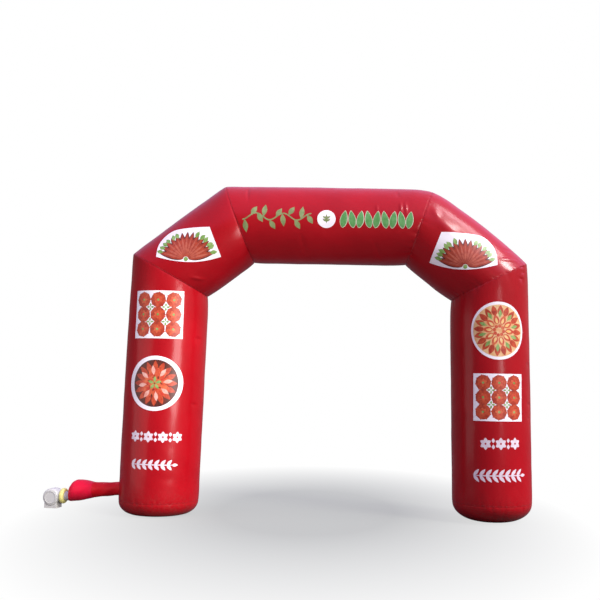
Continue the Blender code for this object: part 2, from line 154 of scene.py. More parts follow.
# Single folds in a panel: its middle along the tube from the start and round from the front
# (outer side positive), its turn from the tube's own direction in degrees, and its size. A
# trough has a positive depth, and a ridge a negative one.
Fold = namedtuple("Fold", "along around turn length width depth")
FOLDS = {
    "beam": [
        Fold(0.233, 0.340, 78, 0.36, 0.016, 0.0044),
        Fold(1.600, 0.130, 72, 0.16, 0.014, -0.0036),
        Fold(1.866, 0.145, 72, 0.24, 0.015, -0.0056),
        Fold(1.921, 0.145, 72, 0.24, 0.015, -0.0058),
        Fold(1.903, 0.360, 77, 0.20, 0.018, 0.0030),
        Fold(0.643, -0.30, 84, 0.40, 0.030, 0.0030),
        Fold(1.443, -0.36, 95, 0.38, 0.028, 0.0030),
    ],
    "corner_right": [
        Fold(0.120, 0.300, 128, 0.28, 0.026, -0.0070),
        Fold(0.240, 0.420, 112, 0.22, 0.024, 0.0040),
        Fold(0.840, 0.118, 10, 0.61, 0.060, -0.0076),
        Fold(1.030, 0.176, 24, 0.24, 0.034, -0.0056),
    ],
    "corner_left": [Fold(0.130, -0.30, 118, 0.22, 0.020, -0.0040)],
    "leg_right": [
        Fold(2.590, 0.360, 90, 0.20, 0.014, 0.0060),
        Fold(2.525, 0.400, 84, 0.14, 0.014, 0.0035),
        Fold(2.450, 0.360, 94, 0.16, 0.014, 0.0055),
        Fold(2.560, 0.050, 65, 0.26, 0.020, 0.0060),
        Fold(1.520, 0.470, 88, 0.14, 0.016, 0.0040),
        Fold(1.080, 0.480, 96, 0.15, 0.016, 0.0045),
        Fold(0.930, 0.470, 85, 0.13, 0.014, 0.0040),
    ],
    "leg_left": [
        Fold(2.500, -0.27, 105, 0.18, 0.018, 0.0045),
        Fold(1.780, -0.47, 92, 0.16, 0.018, 0.0035),
        Fold(1.060, -0.46, 86, 0.16, 0.018, 0.0035),
        Fold(0.270, -0.15, 97, 0.30, 0.050, 0.0020),
    ],
}
FOLD_STRENGTH = 1.6  # by which all these depths are multiplied

# The blown-up cloth is uneven all over. Each ripple has a whole number of waves round the
# tube, some radians of wave for each metre along it, and a depth.
Ripple = namedtuple("Ripple", "round_it along_it depth")
RIPPLES = [
    Ripple(3, 5.1, 0.0010),
    Ripple(5, -8.3, 0.0009),
    Ripple(2, 11.7, 0.0010),
    Ripple(9, 17.0, 0.0006),
    Ripple(13, -26.0, 0.0005),
    Ripple(7, -39.0, 0.0004),
]
RIPPLE_FADE = 0.2  # distance from a seam at which they have their full depth


def seam_puckers(joint, seed):
    """Unevenly spaced puckers round a seam, deepest on the inner side of a bend."""
    spin = random.Random(seed)
    count = round(math.tau * TUBE_RADIUS / PUCKER_SPACING)
    puckers = []
    for place in range(count):
        angle = (place + spin.uniform(-PUCKER_STRAY, PUCKER_STRAY)) * math.tau / count
        crowd = 1 + PUCKER_CROWD * max(0.0, -math.sin(angle)) * (joint not in FEET)
        depth = spin.uniform(*PUCKER_DEPTHS) * crowd * JOINTS[joint].puckers
        width = spin.uniform(*PUCKER_WIDTHS)
        before, after = spin.uniform(*PUCKER_REACHES), spin.uniform(*PUCKER_REACHES)
        puckers.append(Pucker(angle, depth, width, before, after, spin.uniform(*PUCKER_DRIFTS)))
    return puckers


PUCKERS = {
    joint: seam_puckers(joint, PUCKER_SEED + place) for place, joint in enumerate(JOINTS)
}


def turned_between(angle, other):
    """The signed turn from one angle to another, within half a turn."""
    return (angle - other + math.pi) % math.tau - math.pi


def hump(offset, width):
    """A soft bump of height 1 across an offset."""
    return np.exp(-((offset / width) ** 2))


def fading(distance, reach):
    """From 1 at a seam to nothing at its reach."""
    return np.maximum(0, 1 - distance / reach) ** 2


def puckered(joint, angle, distance, after):
    """How far the puckers of a seam pull the cloth in near it. "after" is the side of the seam
    that comes later along the arch."""
    depth = 0.0
    for pucker in PUCKERS[joint]:
        reach = pucker.reach_after if after else pucker.reach_before
        arc = turned_between(angle, pucker.angle) * TUBE_RADIUS - pucker.drift * distance
        width = pucker.width * (1 + distance / reach)
        depth = depth + pucker.depth * hump(arc, width) * fading(distance, reach)
    return depth


def drawn_in(joint, angle, distance):
    """How far a seam itself pulls the cloth in near it."""
    seam = JOINTS[joint]
    side = np.sin(angle)
    shape = seam.all_round + np.where(side > 0, seam.outer, seam.inner) * side**2
    return shape * fading(distance, seam.reach) + seam.groove * hump(distance, GROOVE_WIDTH)


def folded_in(panel_name, angle, along, length):
    """How far the panel's own folds and its broad ripples pull the cloth in."""
    radius = PANELS[panel_name].radius
    arc = turned_between(angle, 0) * radius
    depth = np.zeros(np.broadcast(angle, along).shape)
    for fold in FOLDS[panel_name]:
        far, off = turned(along - fold.along, arc - fold.around, -fold.turn)
        ends = np.cos(np.clip(far / fold.length, -0.5, 0.5) * math.pi) ** 2
        depth += FOLD_STRENGTH * fold.depth * ends * hump(off, fold.width)
    depth += BACK_SEAM_DEPTH * hump(turned_between(angle, math.pi) * radius, BACK_SEAM_WIDTH)
    fade = np.clip(np.minimum(along, length - along) / RIPPLE_FADE, 0, 1)
    for place, ripple in enumerate(RIPPLES):
        phase = (place + 1) * sum(map(ord, panel_name))
        wave = np.sin(ripple.round_it * angle + ripple.along_it * along + phase)
        depth += ripple.depth * (1 + wave) / 2 * fade
    return depth


# ---- the tube's surface


def axis_point(joint):
    return np.array((ARCH_X + JOINTS[joint].x, 0.0, JOINTS[joint].z))


def radius_between(joint, other_joint):
    """The radius of the panel that runs between two joints."""
    for panel in PANELS.values():
        if {panel.start, panel.end} == {joint, other_joint}:
            return panel.radius


def outwards(direction, point):
    """Square to a stretch of the arch in the arch's own plane, towards its outer side."""
    outer = np.array((-direction[2], 0.0, direction[0]))
    return outer if outer @ (point - MIDDLE) > 0 else -outer


class Tube:
    """One straight stretch of the arch between the planes of its two seams. Its methods take
    arrays of angles and of places along, and give arrays of points."""

    def __init__(self, name):
        self.name = name
        self.panel = PANELS[name]
        self.radius = self.panel.radius
        self.start = axis_point(self.panel.start)
        end = axis_point(self.panel.end)
        self.direction = unit(end - self.start)
        self.outer = outwards(self.direction, (self.start + end) / 2)
        forwards = ORDER.index(self.panel.start) < ORDER.index(self.panel.end)
        self.after = {self.panel.start: forwards, self.panel.end: not forwards}
        self.planes = {joint: self.seam_plane(joint) for joint in self.after}

    def seam_plane(self, joint):
        """A point on the plane where this stretch ends, the plane's normal, and half the
        seam's size from front to back. Where two stretches meet, the plane holds the point at
        which their outer edges cross, and the seam is as deep as the narrower one."""
        point = axis_point(joint)
        if joint in FEET:
            raised = point + np.array((0, 0, FEET[joint].seam_z))
            return raised, np.array((0.0, 0.0, 1.0)), self.radius
        here = ORDER.index(joint)
        neighbours = (ORDER[here - 1], ORDER[here + 1])
        radii = [radius_between(joint, other) for other in neighbours]
        ways = [unit(axis_point(other) - point) for other in neighbours]
        outer, other_outer = (outwards(way, point) for way in ways)
        reach = (radii[1] - radii[0] * (outer @ other_outer)) / (ways[0] @ other_outer)
        edge = outer * radii[0] + ways[0] * reach
        return point, unit(np.array((-edge[2], 0.0, edge[0]))), min(radii)

    def pulled_in(self, joint, angle, distance):
        """How far inside the panel's radius the cloth is at a distance from one of its seams.
        A wider panel's section narrows there to an ellipse as deep as the seam."""
        depth = self.planes[joint][2]
        section = self.radius / np.hypot(np.cos(angle) * self.radius / depth, np.sin(angle))
        narrowing = (self.radius - section) * fading(distance, SWELL_REACH)
        puckers = puckered(joint, angle, distance, self.after[joint])
        return narrowing + drawn_in(joint, angle, distance) + puckers

    def away(self, angle):
        return ways_round(angle, FRONT, self.outer)

    def ends(self, angle, lift=0.0):
        """Where the line at each angle meets the two seams, along the axis."""
        found = []
        for joint, (point, normal, _) in self.planes.items():
            radius = self.radius + lift - self.pulled_in(joint, angle, 0.0)
            rim = self.start + self.away(angle) * radius[..., None]
            found.append((point - rim) @ normal / (self.direction @ normal))
        return found[0] + GAP / 2, found[1] - GAP / 2

    def point(self, angle, along, lift=0.0):
        """Points at a distance along the axis from the tube's start, lifted off the cloth."""
        low, high = self.ends(angle, lift)
        length = high - low
        along = np.clip(along, low, high)
        share = (along - low) / length
        out = self.panel.crown * np.sin(math.pi * share) * np.maximum(0, np.sin(angle)) ** 2
        out = out - self.pulled_in(self.panel.start, angle, along - low)
        out = out - self.pulled_in(self.panel.end, angle, high - along)
        out = out - folded_in(self.name, angle, along - low, length)
        radius = self.radius + lift + out
        return self.start + self.direction * along[..., None] + self.away(angle) * radius[..., None]


TUBES = {name: Tube(name) for name in PANELS}

# ---- meshes

MERGE = 0.000002  # points closer than this are one


def add_object(name, data):
    obj = bpy.data.objects.new(name, data)
    bpy.context.scene.collection.objects.link(obj)
    return obj


def finish_piece(bm, mesh, material, sharp):
    """A smooth-shaded piece that rides on the arch, from a bmesh that it uses up."""
    bm.to_mesh(mesh)
    bm.free()
    mesh.materials.append(material)
    mesh.shade_smooth()
    mesh.set_sharp_from_angle(angle=math.radians(sharp))
    obj = add_object(mesh.name, mesh)
    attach(obj, "root")
    return obj


def make_object(name, vertices, faces, material, cloth=None, sharp=60):
    """A piece from lists of points and faces. "cloth" holds each point's place on the flat
    cloth, which the weave follows."""
    mesh = bpy.data.meshes.new(name)
    mesh.from_pydata(np.asarray(vertices, float).tolist(), [], faces)
    if cloth is not None:
        layer = mesh.attributes.new("cloth", "FLOAT_VECTOR", "POINT")
        layer.data.foreach_set("vector", np.asarray(cloth, np.float32).ravel())
    bm = bmesh.new()
    bm.from_mesh(mesh)
    bmesh.ops.remove_doubles(bm, verts=bm.verts, dist=MERGE)
    bmesh.ops.dissolve_degenerate(bm, edges=bm.edges, dist=MERGE)
    bmesh.ops.recalc_face_normals(bm, faces=bm.faces)
    return finish_piece(bm, mesh, material, sharp)


def quads(grid, flip=False):
    """The faces between the rows and columns of a grid of vertex numbers."""
    corners = [grid[:-1, :-1], grid[:-1, 1:], grid[1:, 1:], grid[1:, :-1]]
    return np.stack(corners[::-1] if flip else corners, -1).reshape(-1, 4).tolist()


def walled(outer, inner, wrap=True, pointed=False):
    """Vertices and faces of a closed sheet between two grids of points (rows, columns, 3). A
    wrapped grid's last column meets its first, and a pointed one's last row is a point, which
    needs no rim."""
    rows, columns = outer.shape[:2]
    vertices = np.concatenate([outer.reshape(-1, 3), inner.reshape(-1, 3)])
    grids = np.arange(len(vertices)).reshape(2, rows, columns)
    if wrap:
        grids = np.concatenate([grids, grids[:, :, :1]], axis=2)
    faces = quads(grids[0]) + quads(grids[1], flip=True) + quads(grids[:, 0], flip=True)
    if not pointed:
        faces += quads(grids[:, -1])
    if not wrap:
        faces += quads(grids[:, :, 0]) + quads(grids[:, :, -1], flip=True)
    return vertices, faces


def make_sheet(node, ending, walls, across, up, material, slot, **form):
    """The finer copy of a CAD node that is a sheet of cloth. "across" and "up" are the places
    of its points on the flat cloth."""
    vertices, faces = walled(*walls, **form)
    flat = np.stack(np.broadcast_arrays(across, up, 0.0), -1).reshape(-1, 3)
    obj = make_object(node + ending, vertices, faces, material, np.tile(flat, (2, 1)))
    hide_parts(node)
    return obj


def rows_along(tube, length):
    """Shares of the tube's length for its rows of points, close together near both seams and
    across its folds."""
    near = [row / length for row in SEAM_ROWS]
    folded = []
    for fold in FOLDS[tube.name]:
        low, high = tube.ends(np.array([fold.around / tube.radius]))
        turn = math.radians(fold.turn)
        half = abs(math.cos(turn)) * fold.length / 2
        half += FOLD_MARGIN * fold.width * abs(math.sin(turn))
        here = high[0] - low[0]
        folded.append(((fold.along - half) / here, (fold.along + half) / here))
    shares, share = [], near[-1]
    while share < 1 - near[-1]:
        shares.append(share)
        fine = any(low < share < high for low, high in folded)
        share += (FOLD_SPACING if fine else ROW_SPACING) / length
    return np.array([*near[:-1], *shares, *(1 - share for share in reversed(near))])


ANGLES = np.linspace(0, math.tau, ROUND_STEPS, endpoint=False) - math.pi


def make_panels(material):
    for name, tube in TUBES.items():
        low, high = tube.ends(ANGLES)
        lengths = high - low
        shares = rows_along(tube, float(np.mean(lengths)))
        walls = []
        for lift in (0.0, -CLOTH):
            first, last = tube.ends(ANGLES, lift)
            along = first + shares[:, None] * (last - first)
            walls.append(tube.point(np.broadcast_to(ANGLES, along.shape), along, lift))
        arcs = ANGLES * tube.radius
        obj = make_sheet(name, "_cloth", walls, arcs, along, material, "cloth_red")


# ---- bases

BASE_ROWS = 26
BASE_CROWDING = 1.35  # power by which its rows are closer together near the seam
BASE_RINGS = 6  # of the flat patch that rests on the ground
BASE_LIFT = 0.6  # share of a pucker's depth by which it also lifts the dish
CREASES = 19  # the dish's own radial creases
CREASE_DEPTH = 0.0045  # of the deepest one
CREASE_SHARES = (0.3, 1)  # of that depth
CREASE_WIDTHS = (0.012, 0.03)
BASE_SEED = 31
Crease = namedtuple("Crease", "angle depth width")


def wall_length(foot, rim):
    """How far it is down the dish's wall, from a rim of this radius to the flat patch."""
    return (foot.seam_z + rim - foot.contact_radius) / 2 * math.pi / 2


def base_wall(foot_name, angle, share, depth, creases):
    """Radius and height of the dish at a share of the way down from its seam, at a depth under
    its outside."""
    foot, seam = FEET[foot_name], JOINTS[foot_name]
    rim = TUBE_RADIUS - seam.all_round - seam.groove
    turn = math.pi / 2 * (1 - share)
    down = share * wall_length(foot, rim)
    pull = puckered(foot_name, angle, down, foot_name == "foot_right")
    for crease in creases:
        arc = turned_between(angle, crease.angle) * TUBE_RADIUS
        pull = pull + crease.depth * hump(arc, crease.width) * np.sin(math.pi * share) ** 2
    bulge = seam.groove * (1 - hump(down, GROOVE_WIDTH))
    radius = foot.contact_radius + (rim - foot.contact_radius - pull + bulge - depth) * np.sin(turn)
    height = (foot.seam_z - GAP / 2) * (1 - np.cos(turn))
    height = height + (pull * BASE_LIFT * (share < 1) + depth) * np.cos(turn)
    return radius, np.maximum(height, depth)


def make_bases(material):
    up = np.array((0, 0, 1.0))
    for place, (name, leg) in enumerate(BASES.items()):
        tube = TUBES[leg]
        foot_name = tube.panel.start
        foot = FEET[foot_name]
        spin = random.Random(BASE_SEED + place)
        creases = []
        for _ in range(CREASES):
            angle, share = spin.uniform(-math.pi, math.pi), spin.uniform(*CREASE_SHARES)
            creases.append(Crease(angle, share * CREASE_DEPTH, spin.uniform(*CREASE_WIDTHS)))
        lean = foot.seam_z * tube.direction[0] / tube.direction[2]
        center = axis_point(foot_name) + np.array((lean, 0.0, 0.0))
        outer = np.array((math.copysign(1.0, tube.outer[0]), 0.0, 0.0))
        away = ways_round(ANGLES, FRONT, outer)
        walls = []
        for depth in (0.0, CLOTH):
            rings = []
            for share in np.linspace(0, 1, BASE_ROWS) ** BASE_CROWDING:
                radius, height = base_wall(foot_name, ANGLES, share, depth, creases)
                rings.append(center + away * radius[:, None] + up * height[:, None])
            for ring in range(1, BASE_RINGS + 1):
                radius = foot.contact_radius * (1 - ring / BASE_RINGS)
                rings.append(center + away * radius + up * depth)
            walls.append(np.array(rings))
        x, y, _ = np.moveaxis(walls[0] - center, -1, 0)
        obj = make_sheet(name, "_cloth", walls, x, y, material, "cloth_red", pointed=True)
        across = 2 * (foot.contact_radius + wall_length(foot, TUBE_RADIUS))


# ---- stitches

STITCH_PITCH, STITCH_LENGTH = 0.0095, 0.0068
STITCH_RADIUS = 0.0009
STITCH_SHOULDERS = (0.22, 0.78)  # shares of its length between which it has its full radius
STITCH_RISE = 0.6  # of its middle off the cloth, in radii
STITCH_SINK = 0.5  # of its tips into the cloth
STITCH_ROWS = (0.0075, 0.0145)  # distances of the two rows from a seam
BACK_STITCHES = (-0.004, 0.004)  # their distances from the back seam's middle
BACK_STEPS = np.linspace(0.03, 0.97, 160)  # shares of the tube that they run along


def stitches(points, normals):
    """Short raised threads along a line of points. Each is a closed spindle."""
    steps = np.linalg.norm(np.diff(points, axis=0), axis=1)
    reach = np.concatenate([[0], np.cumsum(steps)])

    def at(place, values):
        return np.array([np.interp(place, reach, values[:, k]) for k in range(3)])

    count = int(reach[-1] / STITCH_PITCH)
    vertices, faces = [], []
    for place in range(count):
        centre = (place + 0.5) * reach[-1] / count
        root, tip = (at(centre + side * STITCH_LENGTH / 2, points) for side in (-1, 1))
        up = unit(at(centre, normals))
        side = np.cross(unit(tip - root), up)
        first = len(vertices)
        vertices.append(root - up * STITCH_RADIUS * STITCH_SINK)
        for share in STITCH_SHOULDERS:
            ring = root + (tip - root) * share + up * STITCH_RADIUS * STITCH_RISE
            vertices += [ring + way * STITCH_RADIUS for way in (side, up, -side, -up)]
        vertices.append(tip - up * STITCH_RADIUS * STITCH_SINK)
        for k in range(4):
            a, b = first + 1 + k, first + 1 + (k + 1) % 4
            faces += [(first, b, a), (a, b, b + 4, a + 4), (a + 4, b + 4, first + 9)]
    return vertices, faces


def join_lists(parts):
    vertices, faces = [], []
    for more_vertices, more_faces in parts:
        first = len(vertices)
        vertices += list(more_vertices)
        faces += [tuple(first + v for v in face) for face in more_faces]
    return vertices, faces


def make_stitches(material):
    closed = np.append(ANGLES, ANGLES[0] + math.tau)
    for name, tube in TUBES.items():
        parts = []
        low, high = tube.ends(closed)
        for joint in (tube.panel.start, tube.panel.end):
            if tube.after[joint] or joint in FEET:
                for distance in STITCH_ROWS:
                    at = low + distance if joint == tube.panel.start else high - distance
                    parts.append(stitches(tube.point(closed, at), tube.away(closed)))
        for off in BACK_STITCHES:
            angle = np.full_like(BACK_STEPS, math.pi + off / tube.radius)
            first, last = tube.ends(angle)
            line = tube.point(angle, first + BACK_STEPS * (last - first))
            parts.append(stitches(line, tube.away(angle)))
        vertices, faces = join_lists(parts)
        obj = make_object(name + "_stitches", vertices, faces, material, sharp=180)


# ---- printed panels

PRINT = 0.001  # thickness of a printed panel
PRINT_LIFT = 0.0008  # of a printed panel's back off the cloth
INK = 0.0003  # thickness of one layer of ink
INK_STEP = 0.014  # longest face in the ink, so that it keeps to the tube's curve
INK_LEAST = (10, 2)  # fewest faces along and across a shape
Print = namedtuple("Print", "shape panel along around width height")
PRINTS = {
    "square_print_left": Print("square", "leg_left", 2.174, 0.027, 0.56, 0.52),
    "bowl_print": Print("disc", "leg_left", 1.431, 0.017, 0.62, 0.59),
    "plate_print": Print("disc", "leg_right", 2.064, 0.035, 0.61, 0.625),
    "square_print_right": Print("square", "leg_right", 1.349, 0.026, 0.56, 0.505),
    "beam_disc": Print("disc", "beam", 0.999, 0.003, 0.20, 0.20),
    "corner_print_left": Print("fan", "corner_left", 0.030, 0.183, 0.72, 0.33),
    "corner_print_right": Print("fan", "corner_right", 0.065, 0.140, 0.75, 0.345),
}
PRINT_STEPS = {"square": (40, 36), "disc": (44, 44), "fan": (56, 26)}
AREA_STEPS = 80  # cells along each side of the grid that measures a print

FAN_BOW = 0.062  # how far the lower edge bows down
FAN_SLANT = 0.135  # how much less far the upper edge reaches than the lower one
FAN_SIDE = 0.10  # height of the outer side up to the round corner
FAN_ROUND = 0.20  # radius of that corner
FAN_ROUND_SHARE = 0.5  # share of the grid's columns that it takes up


def square_outline(x, y, size):
    return size.width / 2 * x, size.height / 2 * y


def disc_outline(x, y, size):
    return (
        size.width / 2 * x * np.sqrt(1 - y * y / 2),
        size.height / 2 * y * np.sqrt(1 - x * x / 2),
    )


def fan_outline(x, y, size):
    """The corner prints' outline, from its outer lower corner."""
    across, up = (x + 1) / 2, (y + 1) / 2
    low_x = size.width * across
    low_y = -FAN_BOW * 4 * across * (1 - across)
    turn = np.minimum(across / FAN_ROUND_SHARE, 1) * math.pi / 2
    straight = np.maximum(0, (across - FAN_ROUND_SHARE) / (1 - FAN_ROUND_SHARE))
    top = size.width - FAN_SLANT - FAN_ROUND
    high_x = FAN_ROUND * (1 - np.cos(turn)) + top * straight
    high_y = FAN_SIDE + (size.height - FAN_SIDE) * np.sin(turn)
    return low_x + (high_x - low_x) * up, low_y + (high_y - low_y) * up


OUTLINES = {"square": square_outline, "disc": disc_outline, "fan": fan_outline}


def flat_grid(size, columns, rows):
    """A grid of points over the print's outline, flat."""
    x, y = np.meshgrid(np.linspace(-1, 1, columns + 1), np.linspace(-1, 1, rows + 1))
    return OUTLINES[size.shape](x, y, size)


def cut_area(size):
    """The area that a print was cut to: that of all the cells of its flat grid."""
    across, up = flat_grid(size, AREA_STEPS, AREA_STEPS)
    corners = across + 1j * up
    rising = corners[1:, 1:] - corners[:-1, :-1]
    falling = corners[:-1, 1:] - corners[1:, :-1]
    return abs(float(np.sum((np.conj(rising) * falling).imag))) / 2


def placer(size):
    """A function that puts a print's own (across, up) points on the tube, level on it."""
    tube = TUBES[size.panel]
    lean = math.degrees(math.atan2(tube.direction[2], abs(tube.direction[0])))

    def place(across, up, lift):
        along, around = turned(across, up, -lean)
        return tube.point((size.around + around) / tube.radius, size.along + along, lift)

    return place


def make_grounds(material):
    grounds = {}
    for name, size in PRINTS.items():
        across, up = flat_grid(size, *PRINT_STEPS[size.shape])
        walls = [placer(size)(across, up, lift) for lift in (PRINT_LIFT + PRINT, PRINT_LIFT)]
        grounds[name] = make_sheet(
            name, "_ground", walls, across, up, material, "print_ground", wrap=False
        )
    return grounds


# Shapes that the prints are made of. Each is a strip from its root to its tip, and gives its
# half width at a share of its length.
FORMS = {
    "petal": lambda t: np.sin(math.pi * t**0.8) ** 0.75,
    "leaf": lambda t: np.sin(math.pi * t) ** 1.2,
    "disc": lambda t: np.sqrt(np.maximum(0, 1 - (2 * t - 1) ** 2)),
    "stick": lambda t: np.minimum(1, 4.5 * np.minimum(t, 1 - t)) ** 0.5,
}
Shape = namedtuple("Shape", "form x y turn length width layer")


def strip(shape, place):
    """A closed thin piece of ink with the shape's outline, laid on the print."""
    steps = max(INK_LEAST[0], math.ceil(shape.length / INK_STEP))
    sides = max(INK_LEAST[1], math.ceil(shape.width / INK_STEP))
    t = (1 - np.cos(np.linspace(0, math.pi, steps + 1))) / 2
    half = FORMS[shape.form](t) * shape.width / 2
    along = t[:, None] * shape.length
    along, aside = np.broadcast_arrays(along, half[:, None] * np.linspace(-1, 1, sides + 1))
    across, up = turned(along, aside, shape.turn)
    base = PRINT_LIFT + PRINT + shape.layer * INK
    walls = [place(shape.x + across, shape.y + up, lift) for lift in (base + INK, base)]
    return walled(*walls, wrap=False)


def make_ink(name, shapes, place, material):
    vertices, faces = join_lists([strip(shape, place) for shape in shapes])
    obj = make_object(name, vertices, faces, material)
    return obj


def ring_of(form, count, radius, length, width, layer, start=0.0, x=0.0, y=0.0):
    """Shapes that point outwards, with their roots on a circle."""
    shapes = []
    for place in range(count):
        angle = start + 360 * place / count
        root_x, root_y = turned(radius, 0, angle)
        shapes.append(Shape(form, x + root_x, y + root_y, angle, length, width, layer))
    return shapes


def disc_at(x, y, size, layer):
    return Shape("disc", x - size / 2, y, 0, size, size, layer)


# Each design takes the print's size and a source of random numbers, and gives the shapes of
# each of its inks. In a design a number that multiplies a size is a share of it, and the
# others are metres, degrees, counts and layers.

# Rings of shapes. A ring's radius and its shapes' length and width are shares of the size of
# what it decorates, and "start" is the angle of its first shape.
Petals = namedtuple("Petals", "ink form count radius length width layer start")
ROSETTE_PETALS = [
    Petals("orange", "petal", 8, 0.08, 0.4472, 0.27, 1, 0),
    Petals("red", "petal", 6, 0.03, 0.2392, 0.17, 2, 0),
]
BOWL_PETALS = [
    Petals("orange", "petal", 16, 0.40, 0.42, 0.20, 1, 0),
    Petals("red", "petal", 11, 0.22, 0.36, 0.21, 2, 12),
    Petals("red", "petal", 7, 0.02, 0.28, 0.17, 3, 30),
    Petals("blush", "leaf", 8, 0.30, 0.36, 0.15, 4, 8),
    Petals("green", "leaf", 5, 0.02, 0.24, 0.11, 4, 18),
]
PLATE_PETALS = [
    Petals("orange", "petal", 20, 0.52, 0.36, 0.20, 1, 4),
    Petals("green", "leaf", 10, 0.44, 0.30, 0.12, 2, 22),
    Petals("red", "petal", 10, 0.22, 0.34, 0.20, 3, 4),
    Petals("red", "disc", 8, 0.10, 0.12, 0.12, 4, 10),
    Petals("gold", "petal", 10, 0.25, 0.20, 0.09, 4, 4),
]


def add_rings(layers, rings, scale, x=0.0, y=0.0, start=0.0):
    """Adds a table's rings to the shapes of their inks."""
    for ring in rings:
        sizes = (scale * share for share in (ring.radius, ring.length, ring.width))
        shapes = ring_of(ring.form, ring.count, *sizes, ring.layer, start + ring.start, x, y)
        layers.setdefault(ring.ink, []).extend(shapes)
    return layers


def round_design(size, spin, middle_ink, middle_size, rings):
    """Rings of petals and leaves on a round of one ink, inside the white rim."""
    radius = size.height / 2
    return add_rings({middle_ink: [disc_at(0, 0, radius * middle_size, 0)]}, rings, radius)


ROSETTES = 3  # along each side of a square print
ROSETTE_FIELD = 0.92  # share of the print's width that they take up
ROSETTE_BACK, ROSETTE_HEART = 0.9568, 0.15  # its brown round and its green middle
ROSETTE_TURN = 45  # by which it is turned, at most


def square_design(size, spin):
    """Rows of rosettes, with leaves in the spaces between them."""
    cell = size.width * ROSETTE_FIELD / ROSETTES
    cell_height = cell * size.height / size.width
    layers = {"brown": [], "orange": [], "red": [], "green": []}
    for row in range(ROSETTES):
        for column in range(ROSETTES):
            x = (column - (ROSETTES - 1) / 2) * cell
            y = (row - (ROSETTES - 1) / 2) * cell_height
            add_rings(layers, ROSETTE_PETALS, cell, x, y, spin.uniform(0, ROSETTE_TURN))
            layers["brown"].append(disc_at(x, y, cell * ROSETTE_BACK, 0))
            layers["green"].append(disc_at(x, y, cell * ROSETTE_HEART, 3))
            if row < ROSETTES - 1 and column < ROSETTES - 1:
                between = (x + cell / 2, y + cell_height / 2)
                sprig = ring_of("leaf", 4, 0.004, cell * 0.23, cell * 0.12, 2, 0, *between)
                layers["green"] += sprig
    return layers


FAN_ROOT = (0.47, 0.55)  # where they spread from, as shares of its width and of its bow
FAN_RAYS = 13
FAN_FIRST, FAN_SPREAD = 15, 150  # the first ray's angle, and from it to the last one's
FAN_OVAL = (0.298, 0.284)  # how far the rays reach sideways and up
FAN_HUB = 0.030  # radius of the round that they start from
FAN_LEAVES = (17, 26, 35, 45, 56, 68, 112, 124, 135, 145, 154, 163)  # the ways they point
FAN_LEAF_SWAY = 14  # by which a leaf is turned further, at most
FAN_LEAF_ROOT = 0.9  # share of the rays' reach at which a leaf starts


def fan_reach(angle):
    """How far the fan's oval reaches at an angle."""
    across, up = turned(1, 0, angle)
    return 1 / math.hypot(across / FAN_OVAL[0], up / FAN_OVAL[1])


def fan_design(size, spin):
    """Rays that spread from low in the middle, with leaves between their tips."""
    root_x, root_y = size.width * FAN_ROOT[0], -FAN_BOW * FAN_ROOT[1]
    back, rays, cores, leaves = [], [], [], []
    for place in range(FAN_RAYS):
        angle = FAN_FIRST + FAN_SPREAD * place / (FAN_RAYS - 1)
        reach = fan_reach(angle)
        x, y = turned(FAN_HUB, 0, angle)
        root = (root_x + x, root_y + y, angle)
        back.append(Shape("petal", *root, reach, 0.084, 0))
        rays.append(Shape("petal", *root, reach * 0.96, 0.060, 1))
        cores.append(Shape("leaf", *root, reach * 0.80, 0.022, 2))
    for angle in FAN_LEAVES:
        x, y = turned(FAN_LEAF_ROOT * fan_reach(angle), 0, angle)
        turn = angle + spin.uniform(-FAN_LEAF_SWAY, FAN_LEAF_SWAY)
        leaves.append(Shape("leaf", root_x + x, root_y + y, turn, 0.086, 0.046, 3))
    leaves.append(disc_at(root_x, root_y + 0.004, 0.046, 3))
    return {"dark": back, "brown": rays, "salmon": cores, "green": leaves}


def disc_design(size, spin):
    """A small sprig on the beam's white disc."""
    sprig = [Shape("leaf", 0.0, -0.050, 90, 0.105, 0.030, 0)]
    for side in (-1, 1):
        for height in (-0.030, 0.0):
            sprig.append(Shape("leaf", 0.0, height, 90 - side * 52, 0.055, 0.022, 0))
    return {"olive": sprig}


DESIGNS = {
    "square_print_left": square_design,
    "square_print_right": square_design,
    "bowl_print": partial(round_design, middle_ink="dark", middle_size=1.72, rings=BOWL_PETALS),
    "plate_print": partial(round_design, middle_ink="cream", middle_size=1.80, rings=PLATE_PETALS),
    "beam_disc": disc_design,
    "corner_print_left": fan_design,
    "corner_print_right": fan_design,
}
DESIGN_SEED = 3


def make_designs(grounds, inks):
    for place, (name, design) in enumerate(DESIGNS.items()):
        size = PRINTS[name]
        layers = design(size, random.Random(DESIGN_SEED + place))
        pieces = [
            make_ink(f"{name}_{ink}", shapes, placer(size), inks[ink])
            for ink, shapes in layers.items()
        ]
        cut_area(size)


# ---- rows printed on the cloth


def flower_row(row):
    """Six-petalled flowers with an upright pair of small leaves between each two."""
    pitch, shapes = row.width / row.count, []
    size = min(row.height, pitch * 0.78) / 2
    for place in range(row.count):
        x = (place - (row.count - 1) / 2) * pitch
        shapes += ring_of("petal", 6, size * 0.14, size * 0.86, size * 0.66, 0, 30, x, 0)
        if place < row.count - 1:
            for turn in (90, -90):
                y = math.copysign(row.height * 0.05, turn)
                shapes.append(Shape("leaf", x + pitch / 2, y, turn, row.height * 0.40, 0.034, 0))
    return shapes


